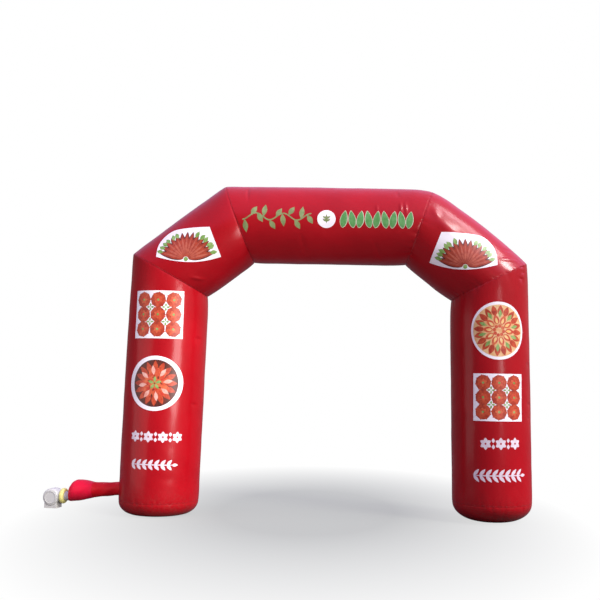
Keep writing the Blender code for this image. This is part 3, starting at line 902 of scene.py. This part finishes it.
def leaf_row(row):
    """A level stem with pairs of leaves that slant forwards, and a bud at its tip."""
    pitch, shapes = row.width / (row.count + 0.9), []
    for place in range(row.count):
        x = -row.width / 2 + (place + 0.15) * pitch
        for turn in (48, -48):
            shapes.append(Shape("petal", x, 0, turn, row.height * 0.66, pitch * 0.52, 0))
    shapes.append(Shape("stick", -row.width / 2, 0, 0, row.width * 0.96, 0.012, 1))
    shapes.append(Shape("petal", row.width / 2 - pitch * 0.95, 0, 0, pitch * 0.95, 0.034, 0))
    return shapes


STEM_STEPS = 26  # short lengths that the vine's stem is made of
STEM_WAVES = 2.5  # along the row
STEM_SWING = 0.13  # share of the row's height


def vine(row):
    """A waving stem in short lengths, with leaves on both sides of it."""

    def wave(x):
        return row.height * STEM_SWING * math.sin(x / row.width * math.tau * STEM_WAVES)

    shapes, step = [], row.width / STEM_STEPS
    for place in range(STEM_STEPS):
        x = -row.width / 2 + place * step
        rise = wave(x + step) - wave(x)
        turn = math.degrees(math.atan2(rise, step))
        shapes.append(Shape("stick", x, wave(x), turn, math.hypot(step, rise) * 1.25, 0.015, 0))
    for place in range(row.count):
        x = -row.width / 2 + (place + 0.4) * row.width / row.count
        side = 1 if place % 2 else -1
        length, turn = (0.40, 58) if place % 3 else (0.50, 82)
        shapes.append(Shape("leaf", x, wave(x), side * turn, row.height * length, 0.058, 0))
    return shapes


LAUREL_LEAN = 9


def laurels(row, grow, layer):
    """Upright bold leaves that lean in turn to each side, "grow" larger all round."""
    pitch, shapes = row.width / row.count, []
    length, width = row.height + 2 * grow, pitch * 0.80 + 2 * grow
    for place in range(row.count):
        lean = LAUREL_LEAN if place % 2 else -LAUREL_LEAN
        x = (place - (row.count - 1) / 2) * pitch + math.sin(math.radians(lean)) * row.height / 2
        shapes.append(Shape("petal", x, -row.height / 2 - grow, 90 + lean, length, width, layer))
    return shapes


# "along" and "around" are the row's middle. "count" is of its flowers or leaves.
Row = namedtuple("Row", "ink design panel along around width height count")
LAURELS = ("beam", 1.549, 0.008, 0.809, 0.185, 9)  # the leaves and their pale edge
ROWS = {
    "leg_left_row_high": Row("white", flower_row, "leg_left", 0.860, -0.023, 0.630, 0.120, 4),
    "leg_left_row_low": Row("white", leaf_row, "leg_left", 0.566, -0.016, 0.530, 0.110, 7),
    "leg_right_row_high": Row("white", flower_row, "leg_right", 0.860, 0.037, 0.490, 0.130, 3),
    "leg_right_row_low": Row("white", leaf_row, "leg_right", 0.525, 0.032, 0.610, 0.138, 8),
    "beam_vine": Row("olive", vine, "beam", 0.452, 0.022, 0.752, 0.300, 11),
    "beam_laurels_edge": Row("pale", partial(laurels, grow=0.006, layer=0), *LAURELS),
    "beam_laurels": Row("bright", partial(laurels, grow=0.0, layer=2), *LAURELS),
}
ROW_LIFT = 0.0002 - PRINT_LIFT - PRINT  # so low, with no printed panel under the row


def cloth_placer(row):
    """As placer, with the ink straight on the cloth. On a leg, across runs to the right."""
    tube = TUBES[row.panel]
    right = 1 if tube.outer[0] > 0 else -1
    level = abs(tube.direction[0]) > abs(tube.direction[2])

    def place(across, up, lift):
        ahead, aside = (across, up) if level else (up, right * across)
        angle = (row.around + aside) / tube.radius
        return tube.point(angle, row.along + ahead, lift + ROW_LIFT)

    return place


def make_rows(inks):
    for name, row in ROWS.items():
        make_ink(name, row.design(row), cloth_placer(row), inks[row.ink])


# ---- inflation sleeve

SLEEVE_START = np.array((ARCH_X - 2.270, 0.100, 0.247))
SLEEVE_END = np.array((ARCH_X - 2.900, 0.203, 0.204))
SLEEVE_STEPS = 96
SLEEVE_JOINT = 0.546  # share of the sleeve at which its two lengths are sewn together
Ring = namedtuple("Ring", "along radius drop")
SLEEVE_RINGS = [
    Ring(0.000, 0.078, 0.000),
    Ring(0.100, 0.074, 0.001),
    Ring(0.300, 0.077, 0.004),
    Ring(SLEEVE_JOINT, 0.087, 0.004),
    Ring(0.680, 0.105, 0.003),
    Ring(0.800, 0.116, 0.002),
    Ring(0.890, 0.115, 0.008),
    Ring(0.950, 0.101, 0.023),
    Ring(0.985, 0.080, 0.045),
    Ring(1.000, 0.055, 0.068),
]
Length = namedtuple("Length", "start end rows")
SLEEVE = {
    "sleeve_neck": Length(0.0, SLEEVE_JOINT, 44),
    "sleeve_end": Length(SLEEVE_JOINT, 1.0, 40),
}
SLEEVE_GROOVE, SLEEVE_GROOVE_WIDTH = 0.0022, 0.008  # of the valley at that joint
SLEEVE_WEAVE_RADIUS = 0.09  # of the tube that the weave is wrapped on
GATHERS = 15  # folds that the mouth is gathered into round the spout
GATHER_DEPTH = 0.0055
GATHERS_FROM = 0.86  # share of the sleeve at which they begin
GATHERS_END = 0.999  # past which the mouth is round
GATHER_POWER = 1.2  # of how they deepen towards the mouth
SLACK = 0.0014  # depth of the sleeve's broad waves
SLACK_WAVES, SLACK_TWIST = 5, 23  # their number round it, and radians along it
SLACK_BETWEEN = (0.02, 0.9)  # shares of the sleeve where it has them


def smooth_ring(share):
    """The radius and drop at a share of the sleeve, on a smooth curve through its rings."""
    places, *columns = np.array(SLEEVE_RINGS).T
    values = []
    for heights in columns:
        slopes = np.gradient(heights, places)
        k = min(max(int(np.searchsorted(places, share)) - 1, 0), len(places) - 2)
        span = places[k + 1] - places[k]
        u = (share - places[k]) / span
        values.append(
            (2 * u**3 - 3 * u**2 + 1) * heights[k] + (u**3 - 2 * u**2 + u) * span * slopes[k]
            + (3 * u**2 - 2 * u**3) * heights[k + 1] + (u**3 - u**2) * span * slopes[k + 1]
        )
    return values


def sleeve_pull(angle, place, length):
    """How far the gathers, the joint's groove and the slack pull the sleeve in."""
    gather = max(0.0, (place - GATHERS_FROM) / (1 - GATHERS_FROM)) ** GATHER_POWER
    gather = gather * GATHER_DEPTH * (place < GATHERS_END)
    pull = gather * np.maximum(0, np.sin(GATHERS * angle / 2)) ** 2
    pull = pull + SLEEVE_GROOVE * hump((place - SLEEVE_JOINT) * length, SLEEVE_GROOVE_WIDTH)
    slack = SLACK * (SLACK_BETWEEN[0] < place < SLACK_BETWEEN[1])
    return pull + slack * np.sin(SLACK_WAVES * angle + SLACK_TWIST * place)


def leg_wall_share(points, axis):
    """The shares of the sleeve's axis at which lines along it leave the left leg's wall."""
    leg = TUBES["leg_left"]
    across = points - leg.start
    across = across - (across @ leg.direction)[..., None] * leg.direction
    way = axis - leg.direction * (axis @ leg.direction)
    a, b = way @ way, 2 * across @ way
    c = np.sum(across**2, -1) - (TUBE_RADIUS + GAP) ** 2
    return (-b + np.sqrt(b * b - 4 * a * c)) / (2 * a)


def sleeve_wall(places, axis, depth):
    """A grid of points round the sleeve, at a depth under its outside."""
    side = unit(np.array((-axis[1], axis[0], 0.0)))
    top = unit(np.cross(axis, side))
    angle = np.linspace(0, math.tau, SLEEVE_STEPS, endpoint=False)
    out = ways_round(angle, side, top)
    rows = []
    for place in places:
        radius, drop = smooth_ring(place)
        pull = sleeve_pull(angle, place, np.linalg.norm(axis))
        start = SLEEVE_START + out * (radius - depth - pull)[:, None]
        shares = leg_wall_share(start, axis)[:, None] if place == 0 else place
        rows.append(start + shares * axis - np.array((0, 0, drop)))
    wall = np.array(rows)
    if places[0] == 0:  # the rows inside the leg's wall start at its outer face
        wall[1:] += np.maximum(0, leg_wall_share(wall[1:], axis))[..., None] * axis
    return wall


def make_sleeve(materials):
    axis = SLEEVE_END - SLEEVE_START
    length = np.linalg.norm(axis)
    arcs = np.linspace(0, math.tau, SLEEVE_STEPS, endpoint=False) * SLEEVE_WEAVE_RADIUS
    for name, part in SLEEVE.items():
        places = np.linspace(*part)
        if part.start == SLEEVE_JOINT:
            places[0] += GAP / length
        walls = [sleeve_wall(places, axis, depth) for depth in (0.0, CLOTH)]
        along = places[:, None] * length
        obj = make_sheet(name, "_cloth", walls, arcs, along, materials[name], "sleeve_cloth")


# ---- materials


class Nodes:
    """Short calls that build the nodes of one material or world."""

    def __init__(self, owner):
        owner.use_nodes = True
        self.owner = owner
        self.tree = owner.node_tree

    def wire(self, node, values):
        """Sets a node's inputs, each to a value or from another node's output."""
        for key, value in values.items():
            if isinstance(value, bpy.types.NodeSocket):
                self.tree.links.new(value, node.inputs[key])
            else:
                node.inputs[key].default_value = value
        return node

    def add(self, kind, values=None, **settings):
        node = self.tree.nodes.new("ShaderNode" + kind)
        for key, value in settings.items():
            setattr(node, key, value)
        return self.wire(node, values or {})

    def shade(self, values):
        """Sets the inputs of the material's own shader, and gives the material."""
        self.wire(self.tree.nodes["Principled BSDF"], values)
        return self.owner

    @cached_property
    def place(self):
        return self.add("NewGeometry").outputs["Position"]

    def height(self):
        return self.add("SeparateXYZ", {0: self.place}).outputs[2]

    def noise(self, scale, detail=3.0, roughness=0.5):
        values = {"Vector": self.place, "Scale": scale, "Detail": detail, "Roughness": roughness}
        return self.add("TexNoise", values).outputs["Fac"]

    def ramp(self, value, low, high, to_low=0.0, to_high=1.0):
        values = {0: value, 1: low, 2: high, 3: to_low, 4: to_high}
        return self.add("MapRange", values).outputs[0]

    def math(self, operation, a, b):
        return self.add("Math", {0: a, 1: b}, operation=operation).outputs[0]

    def mix(self, share, a, b):
        colors = [(*c, 1.0) if isinstance(c, tuple) else c for c in (a, b)]
        values = {0: share, 6: colors[0], 7: colors[1]}
        return self.add("Mix", values, data_type="RGBA").outputs[2]

    def blend(self, share, a, b):
        """A mix of two shader nodes."""
        return self.add("MixShader", {0: share, 1: a.outputs[0], 2: b.outputs[0]})

    def show(self, output, others, camera):
        """Gives the camera one shader node, and all other rays another."""
        both = self.blend(self.add("LightPath").outputs["Is Camera Ray"], others, camera)
        self.wire(self.tree.nodes[output], {"Surface": both.outputs[0]})

    def bump(self, height, distance, strength, under=None):
        values = {"Height": height, "Distance": distance, "Strength": strength}
        if under is not None:
            values["Normal"] = under
        return self.add("Bump", values).outputs["Normal"]

    def weave(self, pitch):
        """The height of a plain weave: threads that pass over and under in both directions."""
        cloth = self.add("Attribute", attribute_name="cloth").outputs["Vector"]
        values = {"Vector": cloth, "Scale": math.tau / 20 / pitch, "Distortion": 0.0}
        threads = [
            self.add("TexWave", values, wave_type="BANDS", bands_direction=direction).outputs["Fac"]
            for direction in ("X", "Y")
        ]
        return self.math("MAXIMUM", *threads)


def paint(name):
    """The nodes of a new material."""
    return Nodes(bpy.data.materials.new(name))


def cloth_material(name, color, deep, roughness, coat):
    """Semi-gloss coated cloth: a fine weave under the coating, soft crumples, uneven dye, and
    dust that gathers low down."""
    nodes = paint(name)
    tone = nodes.mix(nodes.ramp(nodes.noise(2.2, 4.0), 0.32, 0.68), color, deep)
    low = nodes.ramp(nodes.height(), 0.02, 0.34, 1.0, 0.0)
    speck = nodes.ramp(nodes.noise(38.0, 4.0, 0.65), 0.45, 0.72, 0.0, 0.42)
    dusted = nodes.mix(nodes.math("MULTIPLY", speck, low), tone, (0.16, 0.060, 0.045))
    crumple = nodes.bump(nodes.noise(7.0, 5.0, 0.6), 0.012, 0.30)
    small = nodes.bump(nodes.noise(26.0, 3.0, 0.6), 0.004, 0.22, crumple)
    woven = nodes.bump(nodes.weave(0.0012), 0.0002, 0.30, small)
    gloss = nodes.ramp(nodes.noise(11.0, 4.0), 0.3, 0.7, roughness - 0.05, roughness + 0.07)
    return nodes.shade({
        "Base Color": dusted, "Roughness": gloss, "Normal": woven,
        "Coat Weight": coat, "Coat Roughness": 0.20, "Specular IOR Level": 0.11,
    })


def ground_material(name):
    """White printed banner cloth."""
    nodes = paint(name)
    shade = nodes.ramp(nodes.noise(6.0, 4.0), 0.35, 0.7)
    tone = nodes.mix(shade, (0.93, 0.90, 0.91), (0.88, 0.84, 0.86))
    crumple = nodes.bump(nodes.noise(16.0, 3.0), 0.006, 0.22)
    woven = nodes.bump(nodes.weave(0.0009), 0.00012, 0.3, crumple)
    return nodes.shade({"Base Color": tone, "Roughness": 0.42, "Normal": woven})


def ink_material(name, color, other):
    """Printed ink that varies between two colours, with a grain like a coarse print."""
    nodes = paint(name)
    tone = nodes.mix(nodes.ramp(nodes.noise(24.0, 5.0, 0.6), 0.36, 0.64), color, other)
    dots = nodes.bump(nodes.noise(210.0, 2.0), 0.0004, 0.25)
    return nodes.shade({"Base Color": tone, "Roughness": 0.40, "Normal": dots})


def thread_material(name, color):
    nodes = paint(name)
    tone = nodes.mix(nodes.noise(60.0), color, tuple(c * 0.6 for c in color))
    twist = nodes.bump(nodes.noise(900.0, 2.0), 0.0003, 0.5)
    return nodes.shade({"Base Color": tone, "Roughness": 0.55, "Normal": twist})


def plastic_material(name, color, worn, roughness):
    """Moulded plastic with a fine grain, a little grime low down and duller patches."""
    nodes = paint(name)
    low = nodes.ramp(nodes.height(), 0.0, 0.10, 0.75, 0.12)
    grime = nodes.math("MULTIPLY", low, nodes.noise(30.0, 5.0, 0.65))
    grain = nodes.bump(nodes.noise(700.0, 2.0), 0.0001, 0.12)
    gloss = nodes.ramp(nodes.noise(18.0), 0.3, 0.7, roughness - 0.06, roughness + 0.10)
    tone = nodes.mix(grime, color, worn)
    return nodes.shade({"Base Color": tone, "Roughness": gloss, "Normal": grain})


INKS = {
    "orange": ((0.58, 0.085, 0.026), (0.36, 0.028, 0.011)),
    "red": ((0.52, 0.034, 0.017), (0.66, 0.150, 0.050)),
    "dark": ((0.13, 0.020, 0.010), (0.06, 0.015, 0.008)),
    "brown": ((0.42, 0.055, 0.022), (0.28, 0.030, 0.012)),
    "salmon": ((0.52, 0.130, 0.075), (0.38, 0.065, 0.040)),
    "blush": ((0.84, 0.500, 0.400), (0.70, 0.300, 0.220)),
    "cream": ((0.78, 0.560, 0.280), (0.70, 0.360, 0.130)),
    "gold": ((0.85, 0.480, 0.120), (0.78, 0.620, 0.300)),
    "green": ((0.140, 0.290, 0.050), (0.300, 0.460, 0.140)),
    "olive": ((0.170, 0.230, 0.075), (0.260, 0.330, 0.130)),
    "bright": ((0.070, 0.260, 0.055), (0.125, 0.350, 0.105)),
    "pale": ((0.52, 0.600, 0.380), (0.62, 0.680, 0.500)),
    "white": ((0.80, 0.72, 0.75), (0.72, 0.61, 0.66)),
}

# Each cloth's colour, its deeper colour, its roughness and its coat.
CLOTHS = {
    "red_coated_cloth": ((0.40, 0.0018, 0.0072), (0.34, 0.0014, 0.0056), 0.42, 0.46),
    "sleeve_neck_cloth": ((0.78, 0.005, 0.016), (0.66, 0.004, 0.011), 0.45, 0.08),
    "sleeve_end_cloth": ((0.85, 0.007, 0.046), (0.74, 0.006, 0.034), 0.42, 0.12),
}
# Each plastic's colour, its worn colour and its roughness. The screws' steel is painted so too.
PLASTICS = {
    "cream_plastic": ((0.60, 0.61, 0.56), (0.50, 0.49, 0.42), 0.42),
    "yellow_plastic": ((0.78, 0.74, 0.24), (0.70, 0.66, 0.18), 0.38),
    "grey_plastic": ((0.50, 0.49, 0.51), (0.30, 0.29, 0.28), 0.42),
    "dark_plastic": ((0.030, 0.030, 0.032), (0.10, 0.09, 0.08), 0.45),
    "screw_steel": ((0.30, 0.30, 0.31), (0.16, 0.14, 0.12), 0.35),
}
BLOWER_LOOKS = {
    "blower_housing": "cream_plastic",
    "blower_collar": "yellow_plastic",
    "blower_spout": "grey_plastic",
    "blower_inlet": "dark_plastic",
}

# ---- blower

BLOWER_TURN = math.atan2(*(SLEEVE_START - SLEEVE_END)[[1, 0]])
BLOWER = Matrix.Translation((SLEEVE_END[0], SLEEVE_END[1], 0)) @ Matrix.Rotation(BLOWER_TURN, 4, "Z")
UPRIGHT = Matrix.Rotation(math.pi / 2, 4, "X")
DRUM_RADIUS, DRUM_WIDTH = 0.097, 0.150
DRUM_X, DRUM_Z = -0.207, 0.122
SIDE_RING, SIDE_RING_WIRE, SIDE_RING_LIFT = 0.066, 0.0032, 0.0018
GRILLE_RADII = (0.018, 0.030, 0.042, 0.054)
GRILLE_WIRE = 0.0016
GRILLE_SPOKES, SPOKE_ENDS = 8, (0.010, 0.064)
SCREWS, SCREW_CIRCLE, SCREW_RADIUS = 4, 0.074, 0.0035
SCREW_ROOT, SCREW_LENGTH, SCREW_BEVEL = 0.001, 0.003, 0.0006
RIDGE_LIFT, RIDGE_WIRE = 0.0002, 0.0016


def placed(bm, name, material, bevel=0.0):
    """Makes a piece from a bmesh in the blower's own frame."""
    if bevel:
        edges = [e for e in bm.edges if e.calc_face_angle(0) > math.radians(50)]
        bmesh.ops.bevel(bm, geom=edges, offset=bevel, segments=3, affect="EDGES", profile=0.5)
    bm.transform(BLOWER)
    obj = finish_piece(bm, bpy.data.meshes.new(name), material, sharp=35)


def on_circle(radius, turn, height=0.0):
    return Vector((radius * math.cos(turn), radius * math.sin(turn), height))


def torus_into(bm, radius, wire, matrix, steps=40, sides=8):
    rings = []
    for step in range(steps):
        ring = []
        for side in range(sides):
            around = math.tau * side / sides
            out, rise = radius + wire * math.cos(around), wire * math.sin(around)
            ring.append(bm.verts.new(matrix @ on_circle(out, math.tau * step / steps, rise)))
        rings.append(ring)
    for step in range(steps):
        here, there = rings[step], rings[(step + 1) % steps]
        for side in range(sides):
            beside = (side + 1) % sides
            bm.faces.new((here[side], there[side], there[beside], here[beside]))


def rod_into(bm, start, end, radius, sides):
    """A round rod with flat ends between two points."""
    way = end - start
    matrix = Matrix.Translation((start + end) / 2) @ way.to_track_quat("Z", "Y").to_matrix().to_4x4()
    bmesh.ops.create_cone(
        bm, cap_ends=True, segments=sides, radius1=radius, radius2=radius, depth=way.length,
        matrix=matrix,
    )


def make_blower_details(looks):
    """Rings and screws on both sides of the drum, the intake's grille at the back, and the
    ridge where the drum's halves join."""
    shell = looks["cream_plastic"]
    face = DRUM_WIDTH / 2
    for way, side in (("front", -1), ("back", 1)):
        at = Matrix.Translation((DRUM_X, side * (face + SIDE_RING_LIFT), DRUM_Z)) @ UPRIGHT
        bm = bmesh.new()
        torus_into(bm, SIDE_RING, SIDE_RING_WIRE, at)
        placed(bm, f"blower_ring_{way}", shell)
        if way == "back":
            bm = bmesh.new()
            for radius in GRILLE_RADII:
                torus_into(bm, radius, GRILLE_WIRE, at, 36, 6)
            for spoke in range(GRILLE_SPOKES):
                turn = math.tau * (spoke + 0.5) / GRILLE_SPOKES
                rod_into(bm, *(at @ on_circle(r, turn) for r in SPOKE_ENDS), GRILLE_WIRE, 6)
            placed(bm, "blower_grille", looks["dark_plastic"])
        bm = bmesh.new()
        for screw in range(SCREWS):
            foot = at @ on_circle(SCREW_CIRCLE, math.tau * (screw + 0.5) / SCREWS)
            foot.y = side * (face - SCREW_ROOT)
            rod_into(bm, foot, foot + Vector((0, side * SCREW_LENGTH, 0)), SCREW_RADIUS, 12)
        placed(bm, f"blower_screws_{way}", looks["screw_steel"], SCREW_BEVEL)
    bm = bmesh.new()
    at = Matrix.Translation((DRUM_X, 0, DRUM_Z)) @ UPRIGHT
    torus_into(bm, DRUM_RADIUS + RIDGE_LIFT, RIDGE_WIRE, at, 72)
    placed(bm, "blower_joint_ridge", shell)


# ---- stage

GROUND_RADIUS = 40.0
FLOOR_DROP = 0.0005  # of the floor under the object
FLOOR_COLOR = (0.40, 0.43, 0.38)
FLOOR_GLOW = (0.565, 0.57, 0.575)  # mixed in evenly, which softens the shadows
FLOOR_BOUNCE = (0.12, 0.115, 0.11)  # what the floor gives back to the cloth above it
# The floor glows grey round the arch's middle and white further off: a painted soft shadow under the
# arch that fades into the white backdrop.
FLOOR_SHADOW_MIDDLE = (ARCH_X - 0.2, 0.5, 0.0)
FLOOR_SHADOW_FADE = (1.0, 3.1)  # distances from its middle between which its painted soft shadow fades to white
FLOOR_STRETCH = (1.0, 0.6, 1.0)  # by which those distances are multiplied
FLOOR_SOFTNESS = 0.8  # share of the even glow
WHITE = (1, 1, 1, 1)


def make_floor():
    mesh = bpy.data.meshes.new("floor")
    bm = bmesh.new()
    bmesh.ops.create_circle(bm, cap_ends=True, segments=96, radius=GROUND_RADIUS)
    bm.to_mesh(mesh)
    bm.free()
    floor = add_object("floor", mesh)
    floor.location = (ARCH_X, 0, -FLOOR_DROP)
    nodes = paint("floor_pale_painted_shadow")
    nodes.shade({"Base Color": (*FLOOR_COLOR, 1), "Roughness": 0.9, "Specular IOR Level": 0.1})
    away = nodes.add("VectorMath", {0: nodes.place, 1: FLOOR_SHADOW_MIDDLE}, operation="SUBTRACT")
    away = nodes.add("VectorMath", {0: away.outputs[0], 1: FLOOR_STRETCH}, operation="MULTIPLY")
    far = nodes.add("VectorMath", {0: away.outputs[0]}, operation="LENGTH").outputs["Value"]
    glow = nodes.add("Emission", {"Color": (*FLOOR_GLOW, 1), "Strength": 1.0})
    softened = nodes.blend(FLOOR_SOFTNESS, nodes.tree.nodes["Principled BSDF"], glow)
    white = nodes.add("Emission", {"Color": WHITE, "Strength": 1.0})
    # painted soft shadow: grey glow round the arch, turning to white glow further off
    seen = nodes.blend(nodes.ramp(far, *FLOOR_SHADOW_FADE), softened, white)
    nodes.show("Material Output", nodes.add("BsdfDiffuse", {"Color": (*FLOOR_BOUNCE, 1)}), seen)
    mesh.materials.append(nodes.owner)


SKY_COLOR = (0.72, 0.66, 1.12)
SKY_LOW_COLOR = (0.28, 0.23, 0.24)
SKY_RISE = (0.20, 0.46)  # heights on the unit sphere between which the sky brightens
SKY_SIDES = (0.55, 1.45)  # how bright the left and right are beside the middle


def make_world():
    """A bright soft sky above, dimmer all round the horizon, and white behind the object."""
    world = bpy.data.worlds.new("studio")
    bpy.context.scene.world = world
    nodes = Nodes(world)
    way = nodes.add("SeparateXYZ", {0: nodes.add("TexCoord").outputs["Generated"]}).outputs
    tone = nodes.mix(nodes.ramp(way["Z"], *SKY_RISE), SKY_LOW_COLOR, SKY_COLOR)
    strength = nodes.ramp(way["X"], -1, 1, *SKY_SIDES)
    sky = nodes.wire(nodes.tree.nodes["Background"], {"Color": tone, "Strength": strength})
    nodes.show("World Output", sky, nodes.add("Background", {"Color": WHITE}))


# The lights: a high sun from the right and a fainter one that catches the upper edges, a low
# wide light on the left half of the arch, and a soft light from its left side.
Light = namedtuple("Light", "kind place aim power color settings")
LIGHTS = {
    "key": Light(
        "SUN", (0.67, -0.43, 0.61), (0, 0, 0), 3.4, (1.0, 0.96, 0.92),
        {"angle": math.radians(17)},
    ),
    "rim": Light(
        "SUN", (0.60, -0.14, 0.79), (0, 0, 0), 0.85, (1.0, 0.96, 1.0),
        {"angle": math.radians(16)},
    ),
    "left_fill": Light(
        "SPOT", (ARCH_X + 3.0, -5.6, 2.0), (ARCH_X - 1.7, -0.3, 1.7), 1330, (1.0, 0.97, 0.96),
        {"spot_size": math.radians(54), "spot_blend": 1.0, "shadow_soft_size": 1.6},
    ),
    "left_edge": Light(
        "AREA", (ARCH_X - 4.6, -2.2, 1.2), (ARCH_X - 1.85, 0.0, 1.2), 34, (1.0, 0.94, 0.92),
        {"size": 3.2},
    ),
}


def make_lights():
    for name, light in LIGHTS.items():
        data = bpy.data.lights.new(name, light.kind)
        data.energy, data.color = light.power, light.color
        for key, value in light.settings.items():
            setattr(data, key, value)
        obj = add_object(name, data)
        obj.location = light.place
        way = Vector(light.place) - Vector(light.aim)
        obj.rotation_euler = way.to_track_quat("Z", "Y").to_euler()


CAMERA_PLACE = (ARCH_X + 0.284, -9.450, 1.462)
CAMERA_YAW, CAMERA_PITCH, CAMERA_ROLL = 0.966, 5.711, 1.094
FOCAL_SHARE = 838 / 600  # focal length as a share of the picture's width
SENSOR = 36.0
CAMERA_SHIFT = -0.0665
CAMERA_SIGHT = 200


def make_camera():
    yaw, pitch, roll = (math.radians(a) for a in (CAMERA_YAW, CAMERA_PITCH, CAMERA_ROLL))
    ahead = Vector((-math.sin(yaw) * math.cos(pitch), math.cos(yaw) * math.cos(pitch), math.sin(pitch)))
    level = Vector((math.cos(yaw), math.sin(yaw), 0))
    up = level.cross(ahead)
    right = level * math.cos(roll) + up * math.sin(roll)
    top = up * math.cos(roll) - level * math.sin(roll)
    data = bpy.data.cameras.new("camera")
    data.sensor_width = SENSOR
    data.lens = SENSOR * FOCAL_SHARE
    data.shift_x = CAMERA_SHIFT
    data.clip_end = CAMERA_SIGHT
    camera = add_object("camera", data)
    axes = Matrix((right, top, -ahead)).transposed().to_4x4()
    camera.matrix_world = Matrix.Translation(CAMERA_PLACE) @ axes
    bpy.context.scene.camera = camera


# ---- all of it


def main():
    make_camera()
    make_world()
    make_lights()
    make_floor()
    cloths = {name: cloth_material(name, *values) for name, values in CLOTHS.items()}
    inks = {name: ink_material("ink_" + name, *colors) for name, colors in INKS.items()}
    make_panels(cloths["red_coated_cloth"])
    make_bases(cloths["red_coated_cloth"])
    make_stitches(thread_material("thread", (0.36, 0.008, 0.014)))
    make_designs(make_grounds(ground_material("banner_cloth")), inks)
    make_rows(inks)
    make_sleeve({name: cloths[name + "_cloth"] for name in SLEEVE})
    looks = {name: plastic_material(name, *values) for name, values in PLASTICS.items()}
    for node, look in BLOWER_LOOKS.items():
        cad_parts[node].material_slots[0].material = looks[look]
    make_blower_details(looks)
    bpy.context.scene.view_settings.view_transform = "Standard"


main()
